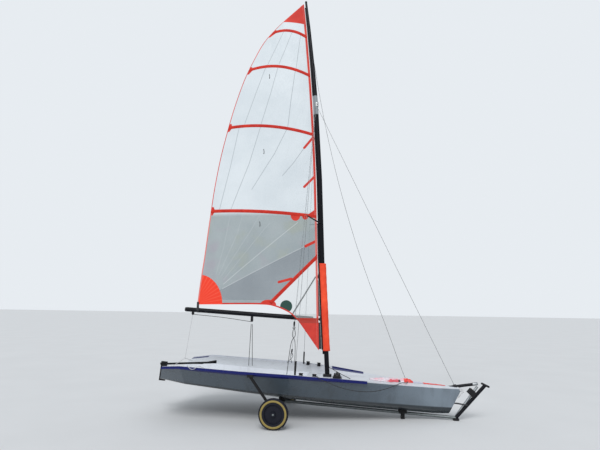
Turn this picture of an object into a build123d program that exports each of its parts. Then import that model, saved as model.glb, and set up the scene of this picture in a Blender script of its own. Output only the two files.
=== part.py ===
from build123d import *
from math import cos, radians, sin
import os

os.makedirs("parts", exist_ok=True)

# A two-person sailing dinghy with its mainsail set, standing on its launching trolley.
# +X points to the bow, +Y to port and +Z up. The ground is at z = 0, and the origin is under the
# middle of the whole outline.

# Lengths are in millimetres. Places along the boat are counted forward from the trolley's axle.
axle_x = -546.5
axle_z = 200.0

# The hull rests bow down, and its own axes start on the deck at the mast.
mast_foot_x = 682.0
mast_foot_z = 587.0
bow_down = 4.2
skin = 8.0

# Stations of the hull, from the stern forward, in the hull's own axes:
# x, lean, keel z, bilge y, bilge z, bilge radius, gunwale y, gunwale z, deck y, deck z, middle z
stations = [
    (-2600, 0, -262, 440, -215, 90, 612, -66, 520, -70, -66),
    (-2030, 0, -322, 560, -250, 110, 880, 29, 520, -60, -55),
    (-1200, 0, -378, 597, -266, 140, 887, 42, 520, -57, -52),
    (-500, 0, -400, 583, -268, 150, 864, 60, 500, -50, -45),
    (50, 0, -402, 510, -276, 150, 750, 56, 400, -20, -14),
    (600, 0, -397, 378, -290, 140, 532, 35, 270, 18, 26),
    (1100, 0, -390, 240, -301, 110, 335, 18, 170, 30, 40),
    (1600, 0, -378, 113, -310, 60, 165, 8, 90, 26, 34),
    (2000, 25, -358, 20, -320, 8, 30, 10, 14, 20, 22),
]
transom_x = -2320.0
transom_lean = 25.6

# The cockpit is a straight well, open through the transom.
well_front = -300.0
well_floor = -200.0
well_half_floor = 430.0
well_flare = 0.28
well_top = 260.0
cover_top = 600.0

# The daggerboard's case stands in the cockpit floor.
case_x = -470.0
case_length = 300.0
case_width = 70.0
slot_length = 260.0
slot_width = 36.0
case_rise = 16.0

# The gunwale strip wraps the hull's edge.
strip_out = 9.0
strip_in = 26.0
strip_up = 7.0
strip_down = 26.0
strip_front = 580.0

# Mast: height, middle of the section, half its depth and half its width.
hounds_z = 5030.0
mast_sections = [
    (600, 688, 36, 31),
    (2300, 603, 36, 31),
    (3700, 557, 35, 30),
    (hounds_z, 482, 33, 28),
]
topmast_sections = [
    (hounds_z, 482, 33, 28),
    (5620, 434, 29, 25),
    (6470, 348, 24, 20),
    (7000, 285, 19, 16),
]
# Sail track: height, and how far its back stands behind the mast's middle.
track_sections = [(900, 58), (2300, 58), (3700, 58), (hounds_z, 56), (5620, 52), (6470, 42), (6900, 36)]
track_half = 6.0
sleeve_bottom = 950.0
sleeve_top = 2300.0
sleeve_front = 60.0
sleeve_half = 47.0
sleeve_back = 54.0

# The boom and everything on it swings about a straight line behind the mast.
swing_low_x, swing_low_z = 590.0, 955.0
swing_high_x, swing_high_z = 285.0, 6974.0
pin_radius = 5.0
running_gap = 0.05
lug_radius = 9.0
lug_height = 8.0
gooseneck_z = 1425.0
strut_z = 2089.0
boom_front_x = 450.0
boom_aft_x, boom_aft_z = -1578.0, 1550.0
boom_radius = 35.0
strut_radius = 11.0
strut_tab = 35.0
strut_foot_x = 109.0

# Sail sections: height, luff behind the mast's middle, luff y, leech x, leech y, camber.
sail_sections = [
    (955, 112, -32, -1430, -34, 90),
    (1630, 92, -32, -1400, -34, 100),
    (2400, 76, -14, -1324, -40, 110),
    (3890, 66, 0, -1164, -50, 100),
    (5190, 64, 0, -880, -40, 75),
    (6025, 56, 0, -562, -25, 48),
    (6470, 50, 0, -269, -12, 26),
    (6970, 42, 0, 235, -2, 1),
]
sail_cloth = 3.0
pocket_cloth = 3.0
clew_x, clew_y = -1385.0, -38.0
clew_top = 1668.0
strap_width = 32.0
strap_cloth = 2.0
strap_gap = 0.3
pocket_width = 55.0
# Batten pockets in side view, x and z: luff end, middle and leech end.
pockets = [
    ((297, 6317), (-80, 6430), (-350, 6385)),
    ((376, 5567), (-305, 5715), (-740, 5670)),
    ((440, 4486), (-448, 4600), (-1040, 4610)),
    ((526, 3067), (-402, 3115), (-1280, 3150)),
    ((548, 2440), (180, 2070), (-200, 1665)),
]

# Standing rigging.
spreader_root_z = 2950.0
spreader_tip = (372.0, 381.0, 3010.0)
chainplate = (266.0, 794.0, 702.0)
adjuster_length = 165.0
wire_radius = 2.5
bow_eye_x = 2590.0

# Sheet blocks stand on the side decks, and one block stands on the cockpit floor. The side ones:
# place along the hull, y and the deck's height there, in the hull's own axes.
side_blocks = [(-345, 770, 34), (-160, 735, 33)]
block_radius = 27.0
block_height = 46.0
block_sink = 9.0
floor_block_x = -1190.0
# Two more hang under the boom: place along it and how far each hangs down.
hanging_blocks = [(-1471, 46), (-508, 84)]
hanging_width = 40.0
hanging_half = 9.0

# The bow sail lies on the foredeck: place along the hull, y, half width and height.
bundle_sections = [
    (640, -90, 70, 8),
    (780, -100, 130, 30),
    (940, -90, 140, 38),
    (1080, -70, 92, 40),
    (1160, -65, 76, 62),
    (1235, -60, 58, 50),
    (1290, -55, 42, 16),
    (1540, -35, 32, 13),
    (1770, -18, 12, 6),
]

# Bowsprit, as its middle line.
sprit_start = (2380.0, 445.0)
sprit_end = (2920.0, 524.0)
sprit_radius = 21.0

# Rudder stock and tiller, in the hull's own axes but for the tiller's front.
pivot_x = -2505.0
stock_low, stock_high = -330.0, -42.0
stock_front, stock_aft = -2525.0, -2620.0
stock_half = 22.0
blade_slot_half = 11.0
gudgeon_levels = (-250.0, -125.0)
gudgeon_height = 12.0
tiller_front = (-1050.0, 738.0)
tiller_slope = 0.05
tiller_radius = 15.0

# Trolley.
wheel_y = 955.0
wheel_radius = 200.0
tyre_width = 80.0
rim_radius = 145.0
spindle_radius = 12.5
axle_radius = 19.0
axle_half = 860.0
keel_tube_radius = 22.0
keel_tube_end = (2583.0, 36.0)
post_top = (3030.0, 507.0)
post_radius = 25.0
stay_y = 38.0
stay_top = (2925.0, 478.0)
stay_radius = 19.0
handle_half = 160.0
handle_radius = 15.0
arm_foot = (-30.0, 800.0, 215.0)
arm_top = (-345.0, 862.0, 655.0)
arm_radius = 19.0
foot_x = 1810.0


def place(x, y, z):
    """A point counted forward from the axle, to port, and up from the ground."""
    return Vector(axle_x + x, y, z)


hull_up = Vector(sin(radians(bow_down)), 0, cos(radians(bow_down)))
hull_ahead = Vector(cos(radians(bow_down)), 0, -sin(radians(bow_down)))


def on_hull(x, y, z):
    """A point in the hull's own axes: ahead of the mast, to port, and above the deck at the mast."""
    return place(mast_foot_x, 0, mast_foot_z) + hull_ahead * x + Vector(0, y, 0) + hull_up * z


def station(x, lean=0.0):
    """A plane across the hull whose top leans forward; its own y runs up the hull."""
    ahead = hull_ahead * cos(radians(lean)) - hull_up * sin(radians(lean))
    return Plane(origin=on_hull(x, 0, 0), x_dir=(0, 1, 0), z_dir=ahead)


def level(x, z):
    """A plane along the hull's deck line, with x forward and y to port."""
    return Plane(origin=on_hull(x, 0, z), x_dir=hull_ahead, z_dir=hull_up)


def hull_section(row):
    """The whole outline of hull and deck at one station."""
    x, lean, keel_z, bilge_y, bilge_z, bilge_r, edge_y, edge_z, deck_y, deck_z, middle_z = row
    slope = cos(radians(lean))
    half = [(bilge_y, bilge_z), (edge_y, edge_z), (deck_y, deck_z)]
    outline = [(0, keel_z)] + half + [(0, middle_z)] + [(-y, z) for y, z in reversed(half)]
    with BuildSketch(station(x, lean)) as section:
        with BuildLine():
            Polyline([(y, z / slope) for y, z in outline], close=True)
        make_face()
        bilges = [v for v in section.vertices() if abs(abs(v.X) - bilge_y) < 1 and v.Y < bilge_z / 2]
        fillet(bilges, bilge_r)
    return section.sketch


def cover_section(row):
    """Everything above the underside of the deck's skin at one station."""
    x, lean, edge_y, edge_z, deck_y, deck_z, middle_z = row[:2] + row[6:]
    slope = cos(radians(lean))
    half = [(edge_y + 200, edge_z - skin), (edge_y, edge_z - skin), (deck_y, deck_z - skin)]
    outline = [(-y, z) for y, z in half] + [(0, middle_z - skin)] + half[::-1]
    outline += [(edge_y + 200, cover_top), (-edge_y - 200, cover_top)]
    with BuildSketch(station(x, lean)) as section:
        with BuildLine():
            Polyline([(y, z / slope) for y, z in outline], close=True)
        make_face()
    return section.sketch


def strip_section(row, side):
    """The gunwale strip's outline round the hull's edge at one station."""
    x, lean, edge_y, edge_z = row[0], row[1], row[6], row[7]
    slope = cos(radians(lean))
    inner = edge_y - min(strip_in, edge_y - 4)
    corners = [
        (inner, edge_z - strip_down),
        (edge_y + strip_out, edge_z - strip_down),
        (edge_y + strip_out, edge_z + strip_up),
        (inner, edge_z + strip_up),
    ]
    with BuildSketch(station(x, lean)) as section:
        with BuildLine():
            Polyline([(side * y, z / slope) for y, z in corners], close=True)
        make_face()
    return section.sketch


def mast_at(z):
    """How far the mast's middle lies ahead of the axle at a height."""
    rows = mast_sections + topmast_sections[1:]
    for low, high in zip(rows, rows[1:]):
        if z <= high[0]:
            break
    return low[1] + (high[1] - low[1]) * (z - low[0]) / (high[0] - low[0])


def mast_faces(rows):
    """Ellipses across the mast at the listed heights."""
    faces = []
    for z, x, depth, width in rows:
        with BuildSketch(Plane(place(x, 0, z))) as section:
            Ellipse(depth, width)
        faces.append(section.sketch)
    return faces


def swing_at(z):
    """A point on the line that the boom swings about."""
    share = (z - swing_low_z) / (swing_high_z - swing_low_z)
    return place(swing_low_x + (swing_high_x - swing_low_x) * share, 0, z)


swing_axis = (swing_at(swing_high_z) - swing_at(swing_low_z)).normalized()


def pin_plane(z):
    """A plane across the swing line, with x pointing forward."""
    return Plane(origin=swing_at(z), x_dir=(1, 0, 0), z_dir=swing_axis)


def rod(start, end, radius, *cuts):
    """A round bar between two points, cut back by the listed solids."""
    run = end - start
    with BuildPart() as bar:
        with BuildSketch(Plane(origin=start, z_dir=run)):
            Circle(radius)
        extrude(amount=run.length)
        for cut in cuts:
            add(cut, mode=Mode.SUBTRACT)
    return bar


def sail_faces(half_cloth):
    """Thin bows across the sail at the listed heights."""
    faces = []
    for z, behind, luff_y, leech_x, leech_y, camber in sail_sections:
        luff_x = mast_at(z) - behind
        middle_x, middle_y = (luff_x + leech_x) / 2, (luff_y + leech_y) / 2 - camber
        with BuildSketch(Plane(place(0, 0, z))) as section:
            with BuildLine():
                near = ThreePointArc((luff_x, luff_y - half_cloth), (middle_x, middle_y - half_cloth),
                                     (leech_x, leech_y - half_cloth))
                far = ThreePointArc((luff_x, luff_y + half_cloth), (middle_x, middle_y + half_cloth),
                                    (leech_x, leech_y + half_cloth))
                Line(near @ 0, far @ 0)
                Line(near @ 1, far @ 1)
            make_face()
        faces.append(section.sketch)
    return faces


side_view = Plane(origin=(axle_x, 0, 0), x_dir=(1, 0, 0), z_dir=(0, -1, 0))

# Whole outer form of hull and deck, from which both mouldings are cut.
with BuildPart() as whole_hull:
    loft(sections=[hull_section(row) for row in stations], ruled=True)
    split(bisect_by=station(transom_x, transom_lean), keep=Keep.TOP)

with BuildPart() as deck_cover:
    loft(sections=[cover_section(row) for row in stations], ruled=True)


def well(extra):
    """The cockpit's hollow, grown by a thickness all round."""
    floor = well_floor - extra
    half_floor = well_half_floor + extra
    half_top = half_floor + (well_top - floor) * well_flare
    corners = [(-half_floor, floor), (half_floor, floor), (half_top, well_top), (-half_top, well_top)]
    with BuildPart() as hollow:
        with BuildSketch(station(well_front + extra)):
            with BuildLine():
                Polyline(corners, close=True)
            make_face()
        extrude(amount=-2600)
    return hollow.part


inner_well, outer_well = well(0), well(skin)
sprit_from, sprit_to = (place(x, 0, z) for x, z in (sprit_start, sprit_end))
bowsprit = rod(sprit_from, sprit_to, sprit_radius)

with BuildPart() as case_hole:
    with BuildSketch(level(case_x, -450)):
        SlotOverall(case_length, case_width)
    extrude(amount=450 + well_floor + case_rise)

with BuildPart() as hull:
    add(whole_hull.part)
    add(deck_cover.part, mode=Mode.SUBTRACT)
    add(outer_well, mode=Mode.SUBTRACT)
    add(case_hole.part, mode=Mode.SUBTRACT)
    add(bowsprit.part, mode=Mode.SUBTRACT)

with BuildPart() as deck:
    add(whole_hull.part)
    add(hull.part, mode=Mode.SUBTRACT)
    add(inner_well, mode=Mode.SUBTRACT)
    add(case_hole.part, mode=Mode.SUBTRACT)
    add(bowsprit.part, mode=Mode.SUBTRACT)

with BuildPart() as board_case:
    add(case_hole.part)
    add(whole_hull.part, mode=Mode.INTERSECT)
    with BuildSketch(level(case_x, -460)):
        SlotOverall(slot_length, slot_width)
    extrude(amount=500, mode=Mode.SUBTRACT)


def gunwale(side):
    """One coloured strip round the hull's edge, from the transom to beside the mast."""
    with BuildPart() as strip:
        loft(sections=[strip_section(row, side) for row in stations], ruled=True)
        split(bisect_by=station(transom_x, transom_lean), keep=Keep.TOP)
        split(bisect_by=station(strip_front), keep=Keep.BOTTOM)
        add(whole_hull.part, mode=Mode.SUBTRACT)
    return strip


gunwale_starboard, gunwale_port = gunwale(-1), gunwale(1)

# Mast, its track and its cloth sleeve.
with BuildPart() as mast_lower:
    loft(sections=mast_faces(mast_sections), ruled=True)

with BuildPart() as mast_top:
    loft(sections=mast_faces(topmast_sections), ruled=True)

with BuildPart() as luff_track:
    faces = []
    for z, behind in track_sections:
        with BuildSketch(Plane(place(mast_at(z) - behind, 0, z))) as section:
            Rectangle(behind, 2 * track_half, align=(Align.MIN, Align.CENTER))
        faces.append(section.sketch)
    loft(sections=faces, ruled=True)
    add(mast_lower.part, mode=Mode.SUBTRACT)
    add(mast_top.part, mode=Mode.SUBTRACT)

with BuildPart() as mast_sleeve:
    faces = []
    for z in (sleeve_bottom, sleeve_top):
        with BuildSketch(Plane(place(mast_at(z), 0, z))) as section:
            Ellipse(sleeve_front, sleeve_half)
            with Locations((-sleeve_back, 0)):
                Rectangle(100, 200, align=(Align.MAX, Align.CENTER), mode=Mode.SUBTRACT)
        faces.append(section.sketch)
    loft(sections=faces, ruled=True)
    add(mast_lower.part, mode=Mode.SUBTRACT)
    add(luff_track.part, mode=Mode.SUBTRACT)

with BuildPart() as mast_step:
    with BuildSketch(Plane(place(mast_at(600), 0, 540))):
        RectangleRounded(130, 104, 20)
    extrude(amount=66)
    fillet(mast_step.faces().sort_by(Axis.Z)[-1].edges(), 8)
    add(mast_lower.part, mode=Mode.SUBTRACT)
    add(whole_hull.part, mode=Mode.SUBTRACT)

with BuildPart() as masthead_cap:
    with BuildSketch(Plane(place(topmast_sections[-1][1], 0, topmast_sections[-1][0]))):
        RectangleRounded(42, 36, 16)
    extrude(amount=22, taper=8)

with BuildPart() as hounds:
    with BuildSketch(Plane(place(mast_at(hounds_z), 0, hounds_z - 35))):
        with Locations((10, 0)):
            RectangleRounded(58, 66, 22)
    extrude(amount=70)
    add(mast_lower.part, mode=Mode.SUBTRACT)
    add(mast_top.part, mode=Mode.SUBTRACT)

# Spreaders and stays.
spreader_root = place(mast_at(spreader_root_z), 0, spreader_root_z)
hounds_point = place(mast_at(hounds_z), 0, hounds_z)
tips = {side: place(spreader_tip[0], side * spreader_tip[1], spreader_tip[2]) for side in (-1, 1)}
plates = {side: place(chainplate[0], side * chainplate[1], chainplate[2]) for side in (-1, 1)}

with BuildPart() as spreaders:
    for side in (-1, 1):
        arm = tips[side] - spreader_root
        with BuildSketch(Plane(origin=spreader_root, z_dir=arm)) as thick_end:
            Circle(13)
        with BuildSketch(Plane(origin=tips[side], z_dir=arm)) as thin_end:
            Circle(8)
        loft(sections=[thick_end.sketch, thin_end.sketch])
    add(mast_lower.part, mode=Mode.SUBTRACT)

with BuildPart() as adjusters:
    for side in (-1, 1):
        up = (tips[side] - plates[side]).normalized()
        with BuildSketch(Plane(origin=plates[side] - up * 60, x_dir=(1, 0, 0), z_dir=up)):
            RectangleRounded(24, 9, 3)
        extrude(amount=adjuster_length + 60)
    add(whole_hull.part, mode=Mode.SUBTRACT)
    add(gunwale_starboard.part, mode=Mode.SUBTRACT)
    add(gunwale_port.part, mode=Mode.SUBTRACT)


def shroud(side):
    """A wire from the adjuster over the spreader's tip to the hounds."""
    with BuildPart() as wire:
        for start, end in ((plates[side], tips[side]), (tips[side], hounds_point)):
            with BuildSketch(Plane(origin=start, z_dir=end - start)):
                Circle(wire_radius)
            extrude(amount=(end - start).length)
        with Locations(tips[side]):
            Sphere(wire_radius + 7)
        for solid in (adjusters.part, hounds.part, spreaders.part, mast_lower.part, mast_top.part):
            add(solid, mode=Mode.SUBTRACT)
    return wire


shroud_starboard, shroud_port = shroud(-1), shroud(1)

sprit_line = (sprit_to - sprit_from).normalized()
bow_eye = sprit_from + sprit_line * ((axle_x + bow_eye_x - sprit_from.X) / sprit_line.X)

with BuildPart() as bow_ring:
    with BuildSketch(Plane(origin=bow_eye - sprit_line * 20, z_dir=sprit_line)):
        Circle(sprit_radius + 9)
    extrude(amount=40)
    add(whole_hull.part, mode=Mode.SUBTRACT)
    add(bowsprit.part, mode=Mode.SUBTRACT)

forestay = rod(hounds_point, bow_eye, wire_radius, hounds.part, mast_lower.part, mast_top.part,
               bowsprit.part, bow_ring.part, whole_hull.part)

# Boom, its toggle at the gooseneck, and the strut above it.
boom_end_point = place(boom_aft_x, 0, boom_aft_z)
boom_line = (boom_end_point - swing_at(gooseneck_z)).normalized()


def on_boom(x, lift=0.0):
    """A point on the boom's middle line, or above it, counted forward from the axle."""
    along = (axle_x + x - boom_end_point.X) / boom_line.X
    return boom_end_point + boom_line * along + Vector(0, 0, lift)


boom = rod(on_boom(boom_front_x), boom_end_point, boom_radius)


def bracket(z, height):
    """Two lugs and a pin behind the mast's track, round the swing line."""
    with BuildPart() as piece:
        for side in (-1, 1):
            with BuildSketch(pin_plane(z).offset(side * (height + lug_height) / 2 - lug_height / 2)):
                Circle(lug_radius)
                Rectangle(80, 2 * lug_radius, align=(Align.MIN, Align.CENTER))
            extrude(amount=lug_height)
        with BuildSketch(pin_plane(z).offset(-height / 2 - lug_height)):
            Circle(pin_radius)
        extrude(amount=height + 2 * lug_height)
        for solid in (mast_lower.part, luff_track.part, mast_sleeve.part):
            add(solid, mode=Mode.SUBTRACT)
    return piece


eye_height = 30.0
gooseneck = bracket(gooseneck_z, eye_height + 2)
strut_bracket = bracket(strut_z, eye_height + 2)

with BuildPart() as boom_toggle:
    with BuildSketch(pin_plane(gooseneck_z).offset(-eye_height / 2)):
        Circle(lug_radius)
    extrude(amount=eye_height)
    toggle_reach = (on_boom(boom_front_x) - swing_at(gooseneck_z)).length
    with BuildSketch(Plane(origin=swing_at(gooseneck_z), x_dir=(0, 1, 0), z_dir=boom_line)):
        Rectangle(12, eye_height - 4)
    extrude(amount=toggle_reach)
    with BuildSketch(Plane(origin=on_boom(boom_front_x), z_dir=boom_line)):
        Circle(boom_radius)
    extrude(amount=-14)
    with BuildSketch(pin_plane(gooseneck_z).offset(-eye_height)):
        Circle(pin_radius + running_gap)
    extrude(amount=2 * eye_height, mode=Mode.SUBTRACT)

with BuildPart() as gnav_strut:
    with BuildSketch(pin_plane(strut_z).offset(-eye_height / 2)):
        Circle(lug_radius)
        Rectangle(strut_tab, 2 * lug_radius, align=(Align.MAX, Align.CENTER))
    extrude(amount=eye_height)
    strut_head = swing_at(strut_z) - Vector(strut_tab, 0, 0)
    run = on_boom(strut_foot_x) - strut_head
    with BuildSketch(Plane(origin=strut_head, z_dir=run)):
        Circle(strut_radius)
    extrude(amount=run.length)
    add(boom.part, mode=Mode.SUBTRACT)
    with BuildSketch(pin_plane(strut_z).offset(-eye_height)):
        Circle(pin_radius + running_gap)
    extrude(amount=2 * eye_height, mode=Mode.SUBTRACT)

with BuildPart() as boom_cap:
    with BuildSketch(Plane(origin=boom_end_point, z_dir=boom_line)):
        Circle(boom_radius)
    extrude(amount=22, taper=12)

# Mainsail: one cambered cloth cut along its foot, with batten pockets standing off it.
with BuildPart() as foot_cut:
    with BuildSketch(side_view):
        with BuildLine():
            straight_foot = Line((-1800, 1622), (-388, 1640))
            swept_foot = ThreePointArc(straight_foot @ 1, (90, 1522), (330, 1270))
            tack_edge = Line(swept_foot @ 1, (562, 945))
            Polyline(tack_edge @ 1, (900, 945), (900, 800), (-1800, 800), straight_foot @ 0)
        make_face()
    extrude(amount=400, both=True)

with BuildPart() as mainsail:
    loft(sections=sail_faces(sail_cloth / 2))
    add(foot_cut.part, mode=Mode.SUBTRACT)

# A webbing strap holds the sail's corner to the boom, one layer on each side of the cloth.
with BuildPart() as clew_strap:
    clew_foot = on_boom(clew_x)
    with BuildSketch(Plane(origin=clew_foot - boom_line * strap_width / 2, z_dir=boom_line)):
        Circle(boom_radius + strap_cloth)
    extrude(amount=strap_width)
    with BuildSketch(Plane(Vector(clew_foot.X, clew_y, clew_foot.Z))):
        Rectangle(strap_width, 24)
    extrude(amount=clew_top - clew_foot.Z)
    add(boom.part, mode=Mode.SUBTRACT)
    loft(sections=sail_faces(sail_cloth / 2 + strap_gap), mode=Mode.SUBTRACT)

with BuildPart() as pocket_bands:
    for luff, middle, leech in pockets:
        with BuildSketch(side_view):
            with BuildLine():
                ThreePointArc(luff, middle, leech)
            trace(line_width=pocket_width)
        extrude(amount=400, both=True)

with BuildPart() as battens:
    loft(sections=sail_faces(sail_cloth / 2 + pocket_cloth))
    add(pocket_bands.part, mode=Mode.INTERSECT)
    add(foot_cut.part, mode=Mode.SUBTRACT)
    add(mainsail.part, mode=Mode.SUBTRACT)

# Rudder stock on its bracket, and the tiller.
pivot_low, pivot_high = gudgeon_levels
tiller_aft_x = mast_foot_x + stock_aft - 10
tiller_nose = place(tiller_front[0], 0, tiller_front[1])
tiller_tail = place(tiller_aft_x, 0, tiller_front[1] - (tiller_front[0] - tiller_aft_x) * tiller_slope)

with BuildPart() as rudder_bracket:
    with BuildSketch(station(pivot_x + 35)):
        with Locations((0, (pivot_low + pivot_high) / 2)):
            Rectangle(80, pivot_high - pivot_low + 40)
    extrude(amount=14)
    with BuildSketch(level(pivot_x + 35, well_floor)):
        Rectangle(240, 120, align=(Align.MIN, Align.CENTER))
    extrude(amount=10)
    for height in gudgeon_levels:
        with BuildSketch(level(pivot_x, height)):
            Circle(12)
            Rectangle(40, 24, align=(Align.MIN, Align.CENTER))
            Circle(pin_radius + running_gap, mode=Mode.SUBTRACT)
        extrude(amount=gudgeon_height)
    add(hull.part, mode=Mode.SUBTRACT)
    add(deck.part, mode=Mode.SUBTRACT)

with BuildPart() as rudder_stock:
    with BuildSketch(level(stock_front, stock_low)):
        RectangleRounded(stock_front - stock_aft, 2 * stock_half, 8, align=(Align.MAX, Align.CENTER))
    extrude(amount=stock_high - stock_low)
    with BuildSketch(level(stock_aft - 5, stock_low - 5)):
        Rectangle(80, 2 * blade_slot_half, align=(Align.MIN, Align.CENTER))
    extrude(amount=pivot_high - stock_low, mode=Mode.SUBTRACT)
    with BuildSketch(level(pivot_x, pivot_low + gudgeon_height + 1)):
        Circle(11)
        Rectangle(24, 16, align=(Align.MAX, Align.CENTER))
    extrude(amount=pivot_high - pivot_low - gudgeon_height - 2)
    with BuildSketch(level(pivot_x, pivot_low - 12)):
        Circle(pin_radius)
    extrude(amount=pivot_high - pivot_low + 2 * gudgeon_height + 12)
    add(rod(tiller_tail, tiller_nose, tiller_radius).part, mode=Mode.SUBTRACT)

tiller = rod(tiller_tail, tiller_nose, tiller_radius)

# Blocks for the sheets.
with BuildPart() as sheet_blocks:
    for side in (-1, 1):
        for x, y, z in side_blocks:
            with BuildSketch(Plane(origin=on_hull(x, side * y, z - block_sink), x_dir=hull_ahead,
                                   z_dir=hull_up)):
                Circle(block_radius)
            extrude(amount=block_height + block_sink)
    add(whole_hull.part, mode=Mode.SUBTRACT)

with BuildPart() as mainsheet_block:
    with BuildSketch(level(floor_block_x, well_floor)):
        Circle(34)
    extrude(amount=24)
    with BuildSketch(Plane(origin=on_hull(floor_block_x, -15, well_floor + 58), x_dir=hull_ahead,
                           z_dir=(0, 1, 0))):
        Circle(40)
    extrude(amount=30)
    add(deck.part, mode=Mode.SUBTRACT)


with BuildPart() as boom_blocks:
    for x, drop in hanging_blocks:
        with BuildSketch(Plane(origin=on_boom(x, block_sink / 2 - boom_radius - drop / 2), x_dir=(0, 0, 1),
                               z_dir=(0, 1, 0))):
            SlotOverall(drop + block_sink, hanging_width)
        extrude(amount=hanging_half, both=True)
    add(boom.part, mode=Mode.SUBTRACT)


def deck_middle(x):
    """The deck's height on the middle line, in the hull's own axes."""
    for low, high in zip(stations, stations[1:]):
        if x <= high[0]:
            break
    return low[-1] + (high[-1] - low[-1]) * (x - low[0]) / (high[0] - low[0])


# The bow sail, dropped in a long heap on the foredeck.
with BuildPart() as bow_sail:
    faces = []
    for x, y, half, height in bundle_sections:
        base = deck_middle(x)
        outline = [(y - half, base - 40), (y - half, base + 0.1 * height - 6),
                   (y - 0.6 * half, base + 0.75 * height), (y, base + height),
                   (y + 0.6 * half, base + 0.75 * height), (y + half, base + 0.1 * height),
                   (y + half, base - 40)]
        with BuildSketch(station(x)) as section:
            with BuildLine():
                Polyline(outline, close=True)
            make_face()
        faces.append(section.sketch)
    loft(sections=faces, ruled=True)
    add(whole_hull.part, mode=Mode.SUBTRACT)

# Trolley.
hub = place(0, 0, axle_z)

with BuildPart() as axle:
    with BuildSketch(Plane(origin=hub, x_dir=(1, 0, 0), z_dir=(0, 1, 0))):
        Circle(axle_radius)
    extrude(amount=axle_half, both=True)
    with BuildSketch(Plane(origin=hub, x_dir=(1, 0, 0), z_dir=(0, 1, 0))):
        Circle(spindle_radius)
    extrude(amount=wheel_y + 50, both=True)


def wheel(side):
    """A rim turning on its spindle, and the tyre seated on it."""
    across = Plane(origin=hub + Vector(0, side * wheel_y, 0), x_dir=(1, 0, 0), z_dir=(0, 1, 0))
    profile = Plane(origin=across.origin, x_dir=(1, 0, 0), z_dir=(0, 0, 1))
    with BuildPart() as rim:
        with BuildSketch(profile):
            with BuildLine():
                Polyline((spindle_radius + running_gap, -42), (32, -42), (36, -14), (118, -12),
                         (124, -34), (rim_radius, -34), (rim_radius, 34), (124, 34), (118, 12),
                         (36, 14), (32, 42), (spindle_radius + running_gap, 42), close=True)
            make_face()
        revolve(axis=Axis(across.origin, (0, 1, 0)))
    with BuildPart() as tyre:
        half = tyre_width / 2
        with BuildSketch(profile):
            with BuildLine():
                bead = Line((rim_radius, half - 6), (rim_radius, 6 - half))
                Polyline(bead @ 1, (rim_radius + 18, -half), (rim_radius + 38, 4 - half),
                         (wheel_radius, 20 - half), (wheel_radius, half - 20),
                         (rim_radius + 38, half - 4), (rim_radius + 18, half), bead @ 0)
            make_face()
        revolve(axis=Axis(across.origin, (0, 1, 0)))
    return rim, tyre


rim_starboard, tyre_starboard = wheel(-1)
rim_port, tyre_port = wheel(1)

tube_end = place(keel_tube_end[0], 0, keel_tube_end[1])
post_end = place(post_top[0], 0, post_top[1])
keel_tube = rod(hub, tube_end, keel_tube_radius, axle.part)
bow_post = rod(tube_end, post_end, post_radius, keel_tube.part)
post_line = (post_end - tube_end).normalized()
bow_stay = rod(tube_end + Vector(0, stay_y, 0), place(stay_top[0], stay_y, stay_top[1]), stay_radius,
               keel_tube.part, bow_post.part)

with BuildPart() as bow_handle:
    with BuildSketch(Plane(origin=post_end, x_dir=(1, 0, 0), z_dir=(0, 1, 0))):
        Circle(handle_radius)
    extrude(amount=handle_half, both=True)
    add(bow_post.part, mode=Mode.SUBTRACT)

with BuildPart() as bow_chock:
    with BuildSketch(Plane(origin=tube_end + post_line * 390, x_dir=(0, 1, 0), z_dir=post_line)):
        with Locations((0, 70)):
            Rectangle(100, 100)
    extrude(amount=80)
    add(bow_post.part, mode=Mode.SUBTRACT)
    add(bow_stay.part, mode=Mode.SUBTRACT)

with BuildPart() as cradle_arms:
    for side in (-1, 1):
        low = place(arm_foot[0], side * arm_foot[1], arm_foot[2])
        high = place(arm_top[0], side * arm_top[1], arm_top[2])
        add(rod(low, high, arm_radius).part)
    add(axle.part, mode=Mode.SUBTRACT)

with BuildPart() as gunwale_pads:
    for side in (-1, 1):
        with BuildSketch(Plane(place(arm_top[0], side * arm_top[1], arm_top[2] - 10))):
            RectangleRounded(90, 50, 10)
        extrude(amount=50)
    add(whole_hull.part, mode=Mode.SUBTRACT)
    add(gunwale_starboard.part, mode=Mode.SUBTRACT)
    add(gunwale_port.part, mode=Mode.SUBTRACT)
    add(cradle_arms.part, mode=Mode.SUBTRACT)

with BuildPart() as keel_pads:
    for x, half_length, low, high in ((0, 45, 200, 262), (foot_x, 60, 88, 140)):
        with BuildSketch(Plane(place(x, 0, low))):
            RectangleRounded(2 * half_length, 110, 10)
        extrude(amount=high - low)
    add(whole_hull.part, mode=Mode.SUBTRACT)
    add(axle.part, mode=Mode.SUBTRACT)
    add(keel_tube.part, mode=Mode.SUBTRACT)

with BuildPart() as trolley_feet:
    with BuildSketch(Plane(place(foot_x, 0, 0))):
        RectangleRounded(56, 70, 8)
    extrude(amount=78)
    with BuildSketch(Plane(place(keel_tube_end[0], 0, 0))):
        RectangleRounded(80, 80, 12)
    extrude(amount=30)
    add(keel_tube.part, mode=Mode.SUBTRACT)
    add(bow_post.part, mode=Mode.SUBTRACT)
    add(bow_stay.part, mode=Mode.SUBTRACT)

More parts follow.
